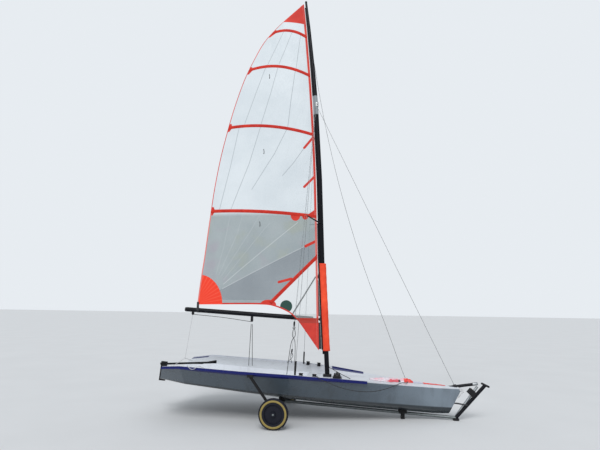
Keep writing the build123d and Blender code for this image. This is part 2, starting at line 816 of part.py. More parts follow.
pieces = {
    "hull": hull, "deck": deck, "board_case": board_case,
    "gunwale_starboard": gunwale_starboard, "gunwale_port": gunwale_port,
    "mast_lower": mast_lower, "mast_top": mast_top, "luff_track": luff_track,
    "mast_sleeve": mast_sleeve, "mast_step": mast_step, "masthead_cap": masthead_cap,
    "hounds": hounds, "spreaders": spreaders, "adjusters": adjusters,
    "shroud_starboard": shroud_starboard, "shroud_port": shroud_port, "forestay": forestay,
    "bowsprit": bowsprit, "bow_ring": bow_ring, "gooseneck": gooseneck,
    "strut_bracket": strut_bracket, "boom": boom, "boom_toggle": boom_toggle,
    "boom_cap": boom_cap, "gnav_strut": gnav_strut, "mainsail": mainsail, "battens": battens,
    "clew_strap": clew_strap,
    "rudder_bracket": rudder_bracket, "rudder_stock": rudder_stock, "tiller": tiller,
    "axle": axle, "rim_starboard": rim_starboard, "tyre_starboard": tyre_starboard,
    "rim_port": rim_port, "tyre_port": tyre_port, "keel_tube": keel_tube, "bow_post": bow_post,
    "bow_stay": bow_stay, "bow_handle": bow_handle, "bow_chock": bow_chock, "cradle_arms": cradle_arms,
    "gunwale_pads": gunwale_pads, "keel_pads": keel_pads, "trolley_feet": trolley_feet,
    "sheet_blocks": sheet_blocks, "mainsheet_block": mainsheet_block, "boom_blocks": boom_blocks,
    "bow_sail": bow_sail,
}
for name, piece in pieces.items():
    piece.part.label = name
    export_step(piece.part, f"parts/{name}.step")
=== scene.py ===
import math
from functools import partialmethod

import bpy
import numpy as np
from mathutils import Matrix


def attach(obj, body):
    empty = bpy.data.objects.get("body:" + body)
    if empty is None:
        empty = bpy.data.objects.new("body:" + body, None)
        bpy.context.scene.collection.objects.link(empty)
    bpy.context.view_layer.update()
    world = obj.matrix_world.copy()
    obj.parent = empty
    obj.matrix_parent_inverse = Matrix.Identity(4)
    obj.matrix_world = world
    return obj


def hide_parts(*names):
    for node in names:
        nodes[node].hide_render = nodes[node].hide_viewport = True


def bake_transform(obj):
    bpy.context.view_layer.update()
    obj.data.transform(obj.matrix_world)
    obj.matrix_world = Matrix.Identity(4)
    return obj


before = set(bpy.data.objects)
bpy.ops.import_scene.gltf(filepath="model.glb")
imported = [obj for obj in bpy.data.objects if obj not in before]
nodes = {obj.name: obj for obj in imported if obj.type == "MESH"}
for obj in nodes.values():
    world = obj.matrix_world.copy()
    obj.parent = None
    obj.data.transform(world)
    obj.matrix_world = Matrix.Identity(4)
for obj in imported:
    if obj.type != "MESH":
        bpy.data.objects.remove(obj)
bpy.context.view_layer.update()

# A sailing dinghy with its mainsail set, on its launching trolley. Metres: +X to the bow, +Y to
# port, +Z up. Places along the boat are counted forward from the trolley's axle.
AXLE, AXLE_HEIGHT = -0.5465, 0.2
# The hull's own axes start on the deck at the mast's foot and are turned bow down.
MAST_FOOT = (0.682, 0.587)
BOW_DOWN = math.radians(4.2)


def at(x, y, z):
    """A point from its distance ahead of the axle, its side and its height."""
    return np.array([x + AXLE, y, z], float)


def points(*rows):
    """Several such points as one array."""
    return np.array([at(*row) for row in rows])


# ---- camera, light and floor

LENS, SENSOR, FARTHEST = 27.45, 36.0, 900.0
EYE = (0.866, -7.323, 1.54)
YAW, PITCH, ROLL = -0.086, 0.187, 0.015
# Colour and strength of the sky that lights the boat and of the sky that the camera sees.
SKIES = (((0.9, 0.95, 1.0, 1), 0.62), ((0.8, 0.84, 0.88, 1), 1.0))
# Name, strength and turn of each lamp, and how wide a lamp looks.
LAMPS = (("key", 1.7, (0.75, -0.25, 0.3)), ("fill", 0.5, (0.95, 0.5, -0.9)))
LAMP_WIDTH = 0.5
FLOOR_REACH = 300.0


def set_camera():
    """Stands the camera where the photograph was taken, turned by yaw, pitch and roll."""
    camera = bpy.data.objects.new("camera", bpy.data.cameras.new("camera"))
    camera.data.lens = LENS
    camera.data.sensor_width = SENSOR
    camera.data.clip_end = FARTHEST
    turns = ((-YAW, "Z"), (math.pi / 2 + PITCH, "X"), (ROLL, "Z"))
    yaw, pitch, roll = (Matrix.Rotation(angle, 4, axis) for angle, axis in turns)
    camera.matrix_world = Matrix.Translation(at(*EYE)) @ yaw @ pitch @ roll
    bpy.context.scene.collection.objects.link(camera)
    bpy.context.scene.camera = camera


def set_lights():
    """An even pale sky, one broad soft lamp high on the camera's side and a weaker one ahead."""
    bpy.context.scene.view_settings.view_transform = "Standard"
    world = bpy.data.worlds.new("sky")
    bpy.context.scene.world = world
    world.use_nodes = True
    tree = world.node_tree
    tree.nodes.clear()
    mix = tree.nodes.new("ShaderNodeMixShader")
    for slot, (colour, strength) in enumerate(SKIES, 1):
        sky = tree.nodes.new("ShaderNodeBackground")
        sky.inputs["Color"].default_value = colour
        sky.inputs["Strength"].default_value = strength
        tree.links.new(sky.outputs[0], mix.inputs[slot])
    path = tree.nodes.new("ShaderNodeLightPath")
    out = tree.nodes.new("ShaderNodeOutputWorld")
    tree.links.new(path.outputs["Is Camera Ray"], mix.inputs[0])
    tree.links.new(mix.outputs[0], out.inputs[0])
    for name, strength, turn in LAMPS:
        lamp = bpy.data.objects.new(name, bpy.data.lights.new(name, "SUN"))
        lamp.data.energy = strength
        lamp.data.angle = LAMP_WIDTH
        lamp.rotation_euler = turn
        bpy.context.scene.collection.objects.link(lamp)


def floor():
    """A plain pale floor that runs far on all sides."""
    made = Finish("floor_pale")
    colour = made.mix(made.noise(0.8, 3.0), (0.6, 0.61, 0.62), (0.66, 0.67, 0.68))
    span = np.array([-FLOOR_REACH, FLOOR_REACH])
    x, y = np.meshgrid(span, span, indexing="ij")
    grid = np.stack([x, y, 0 * x - 0.0005], -1)
    mesh = bpy.data.meshes.new("floor")
    mesh.from_pydata(grid.reshape(-1, 3).tolist(), [], [[0, 2, 3, 1]])
    mesh.materials.append(made.paint(colour, 0.8))
    piece = bpy.data.objects.new("floor", mesh)
    bpy.context.scene.collection.objects.link(piece)


# ---- finishes

class Wire:
    """One output of a material's nodes. Python's operators on it add Math nodes."""

    def __init__(self, finish, socket):
        self.finish, self.socket = finish, socket

    def maths(self, operation, *others, clamp=False):
        """A Math node with this wire first and the others after it."""
        return self.finish.node("ShaderNodeMath", {"operation": operation, "use_clamp": clamp},
                                dict(enumerate((self, *others))))

    __add__ = __radd__ = partialmethod(maths, "ADD")
    __sub__ = partialmethod(maths, "SUBTRACT")
    __mul__ = partialmethod(maths, "MULTIPLY")
    __truediv__ = partialmethod(maths, "DIVIDE")
    __pow__ = partialmethod(maths, "POWER")
    __abs__ = partialmethod(maths, "ABSOLUTE")
    sign = partialmethod(maths, "SIGN")
    sine = partialmethod(maths, "SINE")
    arctangent = partialmethod(maths, "ARCTANGENT")
    most = partialmethod(maths, "MAXIMUM")
    least = partialmethod(maths, "MINIMUM")
    clamp = partialmethod(maths, "ADD", 0.0, clamp=True)

    def __rsub__(self, other):
        return self.finish.node("ShaderNodeMath", {"operation": "SUBTRACT"}, {0: other, 1: self})

    def rise(self, low, high):
        """0 below low, 1 above high and a smooth step between them."""
        return self.finish.node("ShaderNodeMapRange", {"interpolation_type": "SMOOTHSTEP"},
                                {"Value": self, "From Min": low, "From Max": high})

    def fall(self, low, high):
        """1 below low, 0 above high."""
        return 1.0 - self.rise(low, high)


class Finish:
    """A material made of one Principled shader and the nodes that feed it."""

    def __init__(self, name, **plain):
        self.material = bpy.data.materials.new(name)
        self.material.use_nodes = True
        self.tree = self.material.node_tree
        self.tree.nodes.clear()
        out = self.tree.nodes.new("ShaderNodeOutputMaterial")
        self.shader = self.tree.nodes.new("ShaderNodeBsdfPrincipled")
        self.tree.links.new(self.shader.outputs[0], out.inputs[0])
        for socket, value in plain.items():
            self.give(self.shader.inputs[socket.replace("_", " ")], value)

    def give(self, socket, value):
        """Links a wire to a socket, or sets the socket's own value."""
        if isinstance(value, Wire):
            self.tree.links.new(value.socket, socket)
        elif isinstance(value, tuple) and socket.type == "RGBA":
            socket.default_value = value + (1.0,)
        else:
            socket.default_value = value

    def node(self, kind, settings=None, values=None, out=0):
        """Any node: its settings are set first, then the values or links of its sockets."""
        made = self.tree.nodes.new(kind)
        for key, value in (settings or {}).items():
            setattr(made, key, value)
        for key, value in (values or {}).items():
            self.give(made.inputs[key], value)
        return Wire(self, made.outputs[out])

    def paint(self, colour, rough, height=None, deep=None):
        """Feeds colour, roughness and a bump as deep as given, and hands the material on."""
        self.give(self.shader.inputs["Base Color"], colour)
        self.give(self.shader.inputs["Roughness"], rough)
        if height is not None:
            bump = {"Height": height, "Distance": deep, "Strength": 1.0}
            self.give(self.shader.inputs["Normal"], self.node("ShaderNodeBump", None, bump))
        return self.material

    def split(self, vector):
        """The three numbers of a vector."""
        parts = self.tree.nodes.new("ShaderNodeSeparateXYZ")
        self.tree.links.new(vector.socket, parts.inputs[0])
        return [Wire(self, out) for out in parts.outputs]

    def axes(self):
        """The three Object coordinates as separate wires, x counted from the axle."""
        x, y, z = self.split(self.node("ShaderNodeTexCoord", out="Object"))
        return x - AXLE, y, z

    def facing(self):
        """The three parts of the direction that the surface faces."""
        return self.split(self.node("ShaderNodeNewGeometry", out="Normal"))

    def number(self, name):
        """A named value that the mesh carries at each point."""
        return self.node("ShaderNodeAttribute", {"attribute_name": name}, out="Fac")

    def noise(self, scale, detail=3.0, rough=0.5, stretch=(1, 1, 1)):
        """Noise over the Object coordinates, stretched along each axis."""
        here = self.node("ShaderNodeTexCoord", out="Object")
        here = self.node("ShaderNodeMapping", None, {"Vector": here, "Scale": stretch})
        return self.node("ShaderNodeTexNoise", None, {"Vector": here, "Scale": scale,
                                                      "Detail": detail, "Roughness": rough})

    def mix(self, share, first, second):
        """Two colours mixed by a share from 0 to 1."""
        made = self.tree.nodes.new("ShaderNodeMix")
        made.data_type = "RGBA"
        for key, value in (("Factor", share), (6, first), (7, second)):
            self.give(made.inputs[key], value)
        return Wire(self, made.outputs[2])

    def segment(self, x, z, start, end, half, soft=0.003):
        """1 within half a width of the straight line between two points of the side view."""
        (x0, z0), (x1, z1) = start, end
        dx, dz = x1 - x0, z1 - z0
        span = dx * dx + dz * dz
        share = ((x - x0) * (dx / span) + (z - z0) * (dz / span)).clamp()
        off_x, off_z = x - x0 - share * dx, z - z0 - share * dz
        return ((off_x * off_x + off_z * off_z) ** 0.5).fall(half - soft, half + soft)

    def blob(self, x, z, middle, reach_x, reach_z, soft=0.02):
        """1 inside an ellipse of the side view."""
        across, along = (x - middle[0]) / reach_x, (z - middle[1]) / reach_z
        return (across * across + along * along).fall(1 - soft, 1 + soft)


BLUE = (0.004, 0.008, 0.105)
DECK_WHITE = (0.6, 0.63, 0.68)
# How far along the hull the blue reaches, and the places ahead of the axle where the deck's front
# margins begin and its stern margins end.
BLUE_END, FRONT_MARGIN, STERN_MARGIN = 0.58, 0.75, -1.4
# The gunwale's height above the deck line and its reach to the side, each the least of several
# straight lines: a place along the hull, the level there and the slope.
EDGE_HEIGHT = ((-2.03, 0.029, 0.1667), (-2.03, 0.029, 0.0203), (-0.5, 0.06, -0.0073),
               (0.05, 0.056, -0.0382))
EDGE_REACH = ((-2.6, 0.612, 0.47), (-2.03, 0.88, 0.0084), (-1.2, 0.887, -0.033),
              (-0.5, 0.864, -0.207), (0.05, 0.75, -0.396))


def hull_axes(x, z):
    """Places along the hull and above its deck line, from places in the side view."""
    x, z = x - MAST_FOOT[0], z - MAST_FOOT[1]
    return (x * math.cos(BOW_DOWN) - z * math.sin(BOW_DOWN),
            x * math.sin(BOW_DOWN) + z * math.cos(BOW_DOWN))


def least_line(lines, along):
    """The least of several straight lines at a place along the hull."""
    least, *others = [level + (along - start) * slope for start, level, slope in lines]
    for other in others:
        least = least.least(other)
    return least


def weathered(made, colour, dirt, rough):
    """Faint patches and dull streaks that run down a moulded skin."""
    streaks = made.noise(9.0, 5.0, 0.6, (1.0, 1.0, 0.16)).rise(0.5, 0.8)
    patches = made.noise(2.2, 4.0).rise(0.4, 0.75)
    grime = (streaks * 0.5 + patches * 0.35).clamp()
    return made.mix(grime, colour, dirt), rough + grime * 0.25


def hull_gelcoat(name):
    """Glossy skin with painted light and shade: slate in the shade of the flare, paler towards the
    bow and dark below the turn of the bilge as painted shade, with the blue of the rubbing strip
    carried a little way down below it."""
    made = Finish(name, Coat_Weight=0.25, Coat_Roughness=0.1, Specular_IOR_Level=0.35)
    x, _, z = made.axes()
    along, above = hull_axes(x, z)
    # Painted light and shade: slate aft and paler towards the bow, for how the light falls on the
    # topsides.
    shade = made.mix(x.rise(0.9, 2.5), (0.078, 0.102, 0.127), (0.19, 0.232, 0.275))
    # Painted shade: the same gelcoat darkened below the turn of the bilge.
    bilge = (above + along * 0.012 + 0.245).fall(-0.012, 0.008)
    shade = made.mix(bilge, shade, (0.022, 0.03, 0.036))
    colour, rough = weathered(made, shade, (0.056, 0.068, 0.078), 0.24)
    depth = 0.032 + x.rise(-1.7, -1.0) * x.fall(0.5, 1.2) * 0.022
    band = (above - least_line(EDGE_HEIGHT, along) + depth).rise(-0.001, 0.001)
    band = band * along.fall(BLUE_END - 0.002, BLUE_END)
    return made.paint(made.mix(band, colour, BLUE), rough, made.noise(1.6, 1.0), 0.004)


def deck_gelcoat(name):
    """White skin: smooth margins and foredeck, a greyer gritted tread on the wings and on the
    cockpit's floor, and blue margins at the stern and beside the mast."""
    made = Finish(name, Coat_Weight=0.2, Coat_Roughness=0.15, Specular_IOR_Level=0.4)
    x, y, z = made.axes()
    along, _ = hull_axes(x, z)
    inside = least_line(EDGE_REACH, along) - abs(y)
    level = made.facing()[2].rise(0.85, 0.9)
    tread = inside.rise(0.06, 0.062) * (x + y * 0.15).fall(0.497, 0.5) * level
    ends = x.rise(FRONT_MARGIN, FRONT_MARGIN + 0.002).most(
        x.fall(STERN_MARGIN, STERN_MARGIN + 0.005))
    wide = (0.06 + x.rise(FRONT_MARGIN, FRONT_MARGIN + 0.01) * 0.085
            + x.fall(STERN_MARGIN, STERN_MARGIN + 0.01) * 0.03)
    margin = (inside - wide).fall(-0.002, 0.0) * along.fall(BLUE_END - 0.002, BLUE_END) * ends
    grit = made.noise(700.0, 2.0)
    gritted = made.mix(grit.rise(0.35, 0.65), (0.49, 0.52, 0.56), (0.57, 0.6, 0.64))
    colour = made.mix(tread, DECK_WHITE, gritted)
    colour, rough = weathered(made, colour, (0.38, 0.4, 0.42), 0.34)
    return made.paint(made.mix(margin, colour, BLUE), rough + tread * 0.25,
                      made.noise(1.6, 1.0) * 4.0 + grit * tread, 0.0011)


def edge_strip(name):
    """Rubbing strip: blue outside, its top rolled over from the deck and white aft of the mast."""
    made = Finish(name, Specular_IOR_Level=0.25)
    x, y, _ = made.axes()
    _, out, up = made.facing()
    inboard = (out * y.sign()).fall(-0.7, -0.5)
    top = up.rise(0.6, 0.8).most(inboard) * x.fall(FRONT_MARGIN - 0.002, FRONT_MARGIN)
    scuffs = made.noise(16.0, 5.0, 0.65, (0.4, 1.0, 1.0)).rise(0.56, 0.8)
    blue = made.mix(scuffs * 0.45, BLUE, (0.03, 0.042, 0.19))
    return made.paint(made.mix(top, blue, DECK_WHITE), 0.42 + scuffs * 0.2,
                      made.noise(300.0, 2.0), 0.0004)


def wheel_finish(name):
    """Trolley wheel: dark rim, pale yellow ring of the tyre's wall, tread dark as painted shade."""
    made = Finish(name, Specular_IOR_Level=0.25)
    x, _, z = made.axes()
    out = (x * x + (z - AXLE_HEIGHT) * (z - AXLE_HEIGHT)) ** 0.5
    ring = out.rise(0.151, 0.154) * out.fall(0.177, 0.18)
    dust = made.noise(22.0, 5.0, 0.65).rise(0.45, 0.8)
    # Dark: the rim's own black inside the ring, and painted shade on the tyre's yellow tread
    # outside it.
    dark = made.mix(dust * 0.5, (0.004, 0.005, 0.012), (0.018, 0.019, 0.024))
    yellow = made.mix(dust, (0.27, 0.205, 0.06), (0.17, 0.14, 0.06))
    return made.paint(made.mix(ring, dark, yellow), 0.6 + dust * 0.2,
                      made.noise(300.0, 2.0), 0.0007)


def moulded(name, colour, rough=0.45, grain=0.0004):
    """Moulded plastic or rubber with a fine grain and paler worn patches."""
    made = Finish(name, Specular_IOR_Level=0.25)
    wear = made.noise(14.0, 5.0, 0.65).rise(0.52, 0.82)
    pale = tuple(c * 1.6 + 0.012 for c in colour)
    return made.paint(made.mix(wear * 0.6, colour, pale), rough + wear * 0.2,
                      made.noise(420.0, 2.0), grain)


def metal(name, colour, rough):
    """Drawn or galvanised metal: fine lines, dull blotches and small scratches."""
    made = Finish(name, Metallic=1.0)
    blotch = made.noise(26.0, 5.0, 0.6).rise(0.35, 0.75)
    lines = made.noise(60.0, 3.0, 0.5, (0.08, 6.0, 6.0))
    dark = tuple(c * 0.62 for c in colour)
    return made.paint(made.mix(blotch, dark, colour), rough + blotch * 0.18, lines, 0.0003)


def spar(name):
    """Black satin tube with the faint cross weave of wound fibre, rubbed places and a grey band
    where the mast's two lengths meet."""
    made = Finish(name, Coat_Weight=0.03, Coat_Roughness=0.25, Specular_IOR_Level=0.12)
    _, y, z = made.axes()
    weave = ((z * 900.0 + y * 900.0).sine() * (z * 900.0 - y * 900.0).sine()).rise(-0.4, 0.4)
    rubbed = made.noise(7.0, 5.0, 0.65, (1, 1, 0.35)).rise(0.52, 0.8)
    band = abs(z - 5.02).fall(0.16, 0.18)
    cloth = made.mix(weave, (0.003, 0.003, 0.005), (0.007, 0.008, 0.011))
    worn = made.mix(rubbed * 0.4, cloth, (0.022, 0.024, 0.03))
    return made.paint(made.mix(band * 0.85, worn, (0.3, 0.33, 0.35)), 0.3 + rubbed * 0.2)


def red_cloth(name, colour, shade):
    """Closely woven bright tape: a plain weave and sun-faded blotches."""
    made = Finish(name, Specular_IOR_Level=0.15)
    x, _, z = made.axes()
    faded = made.noise(5.0, 4.0, 0.6).rise(0.35, 0.75)
    return made.paint(made.mix(faded, shade, colour), 0.62 + faded * 0.1,
                      (x * 2600.0).sine() * (z * 2600.0).sine(), 0.0003)


def rope(name, colour, fleck):
    """Braided rope: two families of strands wound along the piece's own map, with fleck marks."""
    made = Finish(name, Sheen_Weight=0.2)
    around, along, _ = made.split(made.node("ShaderNodeUVMap", {"uv_map": "run"}))
    one, two = ((around * (2 * math.pi * 4) + along * run).sine() for run in (900.0, -900.0))
    return made.paint(made.mix((one * two).rise(0.45, 0.6) * 0.7, colour, fleck), 0.8,
                      one.most(two), 0.0005)


def webbing(name, colour):
    """Flat woven strap with ribs both ways and paler dust."""
    made = Finish(name, Sheen_Weight=0.3)
    x, y, _ = made.axes()
    dust = made.noise(20.0, 4.0).rise(0.45, 0.8)
    pale = tuple(c * 1.6 + 0.03 for c in colour)
    return made.paint(made.mix(dust * 0.5, colour, pale), 0.85,
                      (x * 1800.0).sine() * 0.6 + (y * 1200.0).sine() * 0.4, 0.0006)


def dropped_cloth(name):
    """Thin sailcloth in a heap: white and pink where it lies open, bright red where it is rolled,
    and red beside white in its long tail. The mesh carries how far to port of its middle a point
    lies, from -1 to 1."""
    made = Finish(name, Specular_IOR_Level=0.2)
    mix = made.mix
    x, y, _ = made.axes()
    across = made.number("across")
    veins = made.noise(9.0, 5.0, 0.6, (1.0, 1.6, 1.0))
    white = mix(veins.rise(0.42, 0.6), (0.68, 0.63, 0.68), (0.68, 0.44, 0.49))
    blush = (veins * 0.8 - across * 0.7).rise(0.55, 0.72)
    blush = blush * x.rise(1.56, 1.62) * x.fall(1.75, 1.775)
    shadow = x.rise(1.738, 1.748) * x.fall(1.768, 1.778) * across.fall(-0.35, -0.15)
    spread = mix(shadow * 0.9, mix(blush, white, (0.6, 0.105, 0.13)), (0.03, 0.03, 0.036))
    rolled = mix(veins.rise(0.4, 0.65), (0.62, 0.05, 0.04), (0.82, 0.15, 0.13))
    lavender = mix(veins.rise(0.45, 0.65), (0.46, 0.47, 0.56), (0.6, 0.58, 0.64))
    beside = (across + veins * 0.9).rise(0.62, 0.7).most(x.fall(2.1, 2.13))
    tail = mix(x.rise(1.962, 1.97), rolled, mix(beside, rolled, lavender))
    weave = (x * 2600.0).sine() * (y * 2600.0).sine()
    return made.paint(mix(x.rise(1.822, 1.832), spread, tail), 0.55,
                      weave * 0.1 + veins * 2.0, 0.0012)


# Batten lines in side view, x from the axle and z: luff end, middle and leech end.
battens = [
    ((0.297, 6.317), (-0.08, 6.442), (-0.35, 6.392)),
    ((0.376, 5.567), (-0.305, 5.735), (-0.74, 5.678)),
    ((0.44, 4.486), (-0.448, 4.62), (-1.04, 4.616)),
    ((0.526, 3.067), (-0.402, 3.13), (-1.28, 3.154)),
]
diagonal = ((0.548, 2.44), (-0.2, 1.665))

# Seams between the sail's panels, in side view.
upper_seams = [
    ((-0.1, 6.43), (-0.25, 6.05), (-0.37, 5.76)), ((0.05, 6.42), (-0.08, 6.02), (-0.17, 5.77)),
    ((0.2, 6.38), (0.16, 6.0), (0.13, 5.7)),
    ((-0.4, 5.72), (-0.58, 5.15), (-0.73, 4.66)), ((-0.18, 5.73), (-0.3, 5.2), (-0.44, 4.66)),
    ((0.12, 5.68), (0.06, 5.15), (0.01, 4.6)),
    ((-0.825, 4.6), (-0.945, 3.9), (-1.1, 3.17)), ((-0.45, 4.6), (-0.62, 3.95), (-0.9, 3.17)),
    ((0.0, 4.57), (-0.2, 4.12), (-0.56, 3.5)), ((0.29, 4.24), (0.12, 3.97), (-0.06, 3.74)),
]
ray_seams = [((-0.98, 1.88), (0.32, 2.57)), ((-0.97, 1.95), (0.203, 2.958))]
lower_seams = [
    ((-0.97, 2.02), (-0.251, 2.939)),
    ((-1.01, 2.08), (-0.56, 2.8), (-0.4, 3.1)), ((-1.05, 2.1), (-0.78, 2.75), (-0.68, 3.12)),
    ((-1.1, 2.11), (-0.98, 2.6), (-0.9, 3.13)),
]
# Red marks on the sail: short straight ones with their half widths, and round ones with their
# reach along x and z.
strokes = [
    ((0.424, 4.422), (0.291, 4.241), 0.02), ((0.48, 3.764), (0.3, 3.562), 0.02),
    ((0.525, 2.676), (0.333, 2.573), 0.022), ((0.53, 3.19), (0.409, 3.094), 0.03),
    ((-0.076, 1.992), (0.117, 2.047), 0.02),
]
patches = [((0.321, 3.055), 0.045, 0.045), ((-0.235, 1.64), 0.125, 0.075)]


def sail_finish(name):
    """Clear film with a fine scrim, red tapes along its edges, battens and corners, and seams."""
    made = Finish(name, Specular_IOR_Level=0.25)
    mix = made.mix
    x, _, z = made.axes()
    luff, leech, foot = (made.number("from_" + edge) for edge in ("luff", "leech", "foot"))
    low_panel = z.fall(3.05, 3.16)
    thinner = low_panel * 0.006
    clew = made.blob(x, z, (-1.398, 1.626), 0.425, 0.48)
    half_round = made.blob(x, z, (0.165, 3.07), 0.075, 0.085).least(z.fall(3.095, 3.1))
    red = luff.fall(0.036 - thinner, 0.04 - thinner)
    for mask in (leech.fall(0.012 + thinner, 0.015 + thinner), foot.fall(0.022, 0.026), clew,
                 (z + x * 0.155).rise(6.603, 6.611), z.fall(1.44, 1.448), half_round,
                 *(made.segment(x, z, *stroke) for stroke in strokes),
                 *(made.blob(x, z, *patch) for patch in patches)):
        red = red.most(mask)
    for _, _, (_, end) in battens:
        off = abs(z - end)
        red = red.most(off.fall(0.068, 0.076) * (leech + off * 0.5).fall(0.075, 0.08))

    seams = []
    for lines, half in ((upper_seams, 0.004), (ray_seams, 0.0034), (lower_seams, 0.0026)):
        marks = [made.segment(x, z, start, end, half, 0.0018)
                 for line in lines for start, end in zip(line, line[1:])]
        while len(marks) > 1:
            pairs = [one.most(two) for one, two in zip(marks[::2], marks[1::2])]
            marks = pairs + marks[len(marks) // 2 * 2:]
        seams.append(marks[0])
    seam_dark, seam_pale = seams[0], seams[1].most(seams[2] * 0.45)

    below = z - x * 0.528 - 2.4
    ahead = z - x * 1.036 - 1.872
    window = below.fall(-0.004, 0.004) * ahead.rise(-0.004, 0.004) * z.rise(1.7, 1.71)
    corner = ahead.fall(-0.004, 0.004) * low_panel
    disc = made.blob(x, z, (0.047, 1.618), 0.094, 0.094)
    thread = 2 * math.pi / 0.016
    scrim = ((x + z * 0.25) * thread).sine().rise(0.9, 0.99).most(
        ((z - x * 0.25) * thread).sine().rise(0.9, 0.99))
    cloud = made.noise(1.1, 4.0, 0.55).rise(0.3, 0.75)
    creases = made.noise(3.0, 4.0, 0.6, (1.0, 1.0, 0.45))
    tint = made.noise(2.6, 3.0, 0.5)
    low_film = mix(cloud, (0.205, 0.25, 0.265), (0.29, 0.335, 0.345))
    low_film = mix(tint.rise(0.52, 0.72) * 0.7, low_film, (0.255, 0.29, 0.24))
    low_film = mix(tint.fall(0.3, 0.46) * 0.7, low_film, (0.265, 0.245, 0.29))
    film = mix(low_panel, mix(cloud, (0.44, 0.52, 0.57), (0.6, 0.67, 0.71)), low_film)
    film = mix(corner, film, mix(cloud, (0.5, 0.53, 0.53), (0.58, 0.61, 0.61)))
    film = mix(window, film, mix(cloud, (0.095, 0.125, 0.15), (0.165, 0.2, 0.225)))
    film = mix(scrim * 0.35, film, (0.66, 0.7, 0.7))
    film = mix(seam_dark, film, (0.22, 0.25, 0.27))
    film = mix(seam_pale * 0.8, film, (0.58, 0.61, 0.61))
    film = mix(disc, film, (0.012, 0.055, 0.042))

    faded = made.noise(4.0, 4.0, 0.6).rise(0.35, 0.75)
    tape = mix(faded, (0.52, 0.026, 0.016), (0.66, 0.045, 0.026))
    slope = (z - 1.626) / (x + 1.46)
    rays = (slope.arctangent() * 46.0).sine().rise(0.75, 0.95)
    tape = mix(clew, tape, mix(rays, (0.82, 0.048, 0.02), (0.86, 0.1, 0.055)))
    tack_seam = (z - 1.36).rise(0.0, 0.01) * z.fall(1.44, 1.45) * (x - 0.1).rise(0, 0.01)
    tape = mix(tack_seam, tape, (0.4, 0.035, 0.022))
    low_tape = luff.fall(0.034, 0.035) * 0.6 + leech.fall(0.021, 0.022)
    low_tape = (low_tape * low_panel * z.rise(1.46, 1.47)).clamp()
    tape = mix(low_tape, tape, (0.68, 0.2, 0.18))
    stitches = luff.rise(0.024, 0.026).least(luff.fall(0.028, 0.03))
    tape = mix(stitches * (z * 700.0).sine().rise(0.0, 0.5) * 0.6, tape, (0.8, 0.45, 0.4))

    weave = (x * 2400.0).sine() * (z * 2400.0).sine() * red
    clear = (0.5 + low_panel * 0.36 - window * 0.06 - corner * 0.54 + scrim * 0.1
             + seam_dark * 0.3 + seam_pale * 0.1)
    alpha = (clear + (1.0 - clear) * red.most(disc) * 0.97).clamp()
    made.give(made.shader.inputs["Alpha"], alpha)
    return made.paint(mix(red, film, tape), 0.26 + red * 0.4 + creases * 0.1,
                      creases * 4.0 + weave * 0.04, 0.006)


hull_skin = hull_gelcoat("hull_gelcoat")
deck_skin = deck_gelcoat("deck_gelcoat")
edge_blue = edge_strip("gunwale_blue")
spar_black = spar("mast_black")
plastic_black = moulded("fitting_black", (0.008, 0.008, 0.01), 0.42)
rubber_black = moulded("pad_black", (0.01, 0.01, 0.011), 0.72, 0.0008)
steel = metal("fitting_steel", (0.5, 0.51, 0.52), 0.25)
wire_steel = metal("wire_steel", (0.22, 0.23, 0.24), 0.35)
# The axle's and keel tube's galvanised is the same metal as galvanised_pale, darker as dull
# galvanising and as painted shade for the shade under the hull.
galvanised = metal("galvanised", (0.26, 0.285, 0.29), 0.45)
galvanised_pale = metal("galvanised_pale", (0.5, 0.53, 0.55), 0.4)
wheel_dark_and_tread_shade = wheel_finish("rim_dark")
sleeve_cloth = red_cloth("sleeve_orange", (0.9, 0.095, 0.038), (0.72, 0.06, 0.026))
batten_cloth = red_cloth("sail_red", (0.62, 0.04, 0.022), (0.46, 0.022, 0.014))
pink_cloth = dropped_cloth("cloth_pink")
strap_black = webbing("strap_black", (0.018, 0.018, 0.022))
rope_white = rope("rope_white", (0.62, 0.62, 0.6), (0.1, 0.12, 0.3))
rope_dark = rope("rope_dark", (0.018, 0.02, 0.022), (0.1, 0.11, 0.1))
rope_black = rope("rope_black", (0.006, 0.007, 0.009), (0.025, 0.028, 0.03))
film_clear = sail_finish("sail_film")

# The finish of each carried-over piece, by how its name starts. The longest fitting start counts.
carried = (
    (hull_skin, "hull"), (deck_skin, "deck board_case"), (edge_blue, "gunwale"),
    (spar_black, "mast luff_track spreaders bowsprit boom gnav_strut tiller bow_post"),
    (plastic_black, "mast_step masthead adjusters bow_ring gooseneck strut_bracket boom_toggle "
                    "boom_cap boom_blocks rudder_stock sheet_blocks mainsheet_block"),
    (steel, "hounds rudder_bracket"), (wire_steel, "shroud forestay"), (strap_black, "clew_strap"),
    (galvanised, "axle keel_tube"), (galvanised_pale, "bow_stay"), (wheel_dark_and_tread_shade, "rim tyre"),
    (rubber_black, "bow_handle bow_chock cradle_arms gunwale_pads keel_pads trolley_feet"),
)


def dress_nodes():
    """Gives each carried-over piece its finish."""
    finishes = {start: finish for finish, starts in carried for start in starts.split()}
    for name, piece in nodes.items():
        fits = [start for start in finishes if name.startswith(start)]
        if fits:
            piece.data.materials.clear()
            piece.data.materials.append(finishes[max(fits, key=len)])


# ---- surfaces

def grid_faces(rows, columns, wrap, first):
    """Four-cornered faces between the rows and columns of a grid of points, and the row and column
    of each of their corners."""
    spans = columns if wrap else columns - 1
    i, j = np.meshgrid(np.arange(rows - 1), np.arange(spans), indexing="ij")
    i, j = i.ravel()[:, None] + (0, 0, 1, 1), j.ravel()[:, None] + (0, 1, 1, 0)
    return i * columns + j % columns + first, np.stack([i, j], -1)


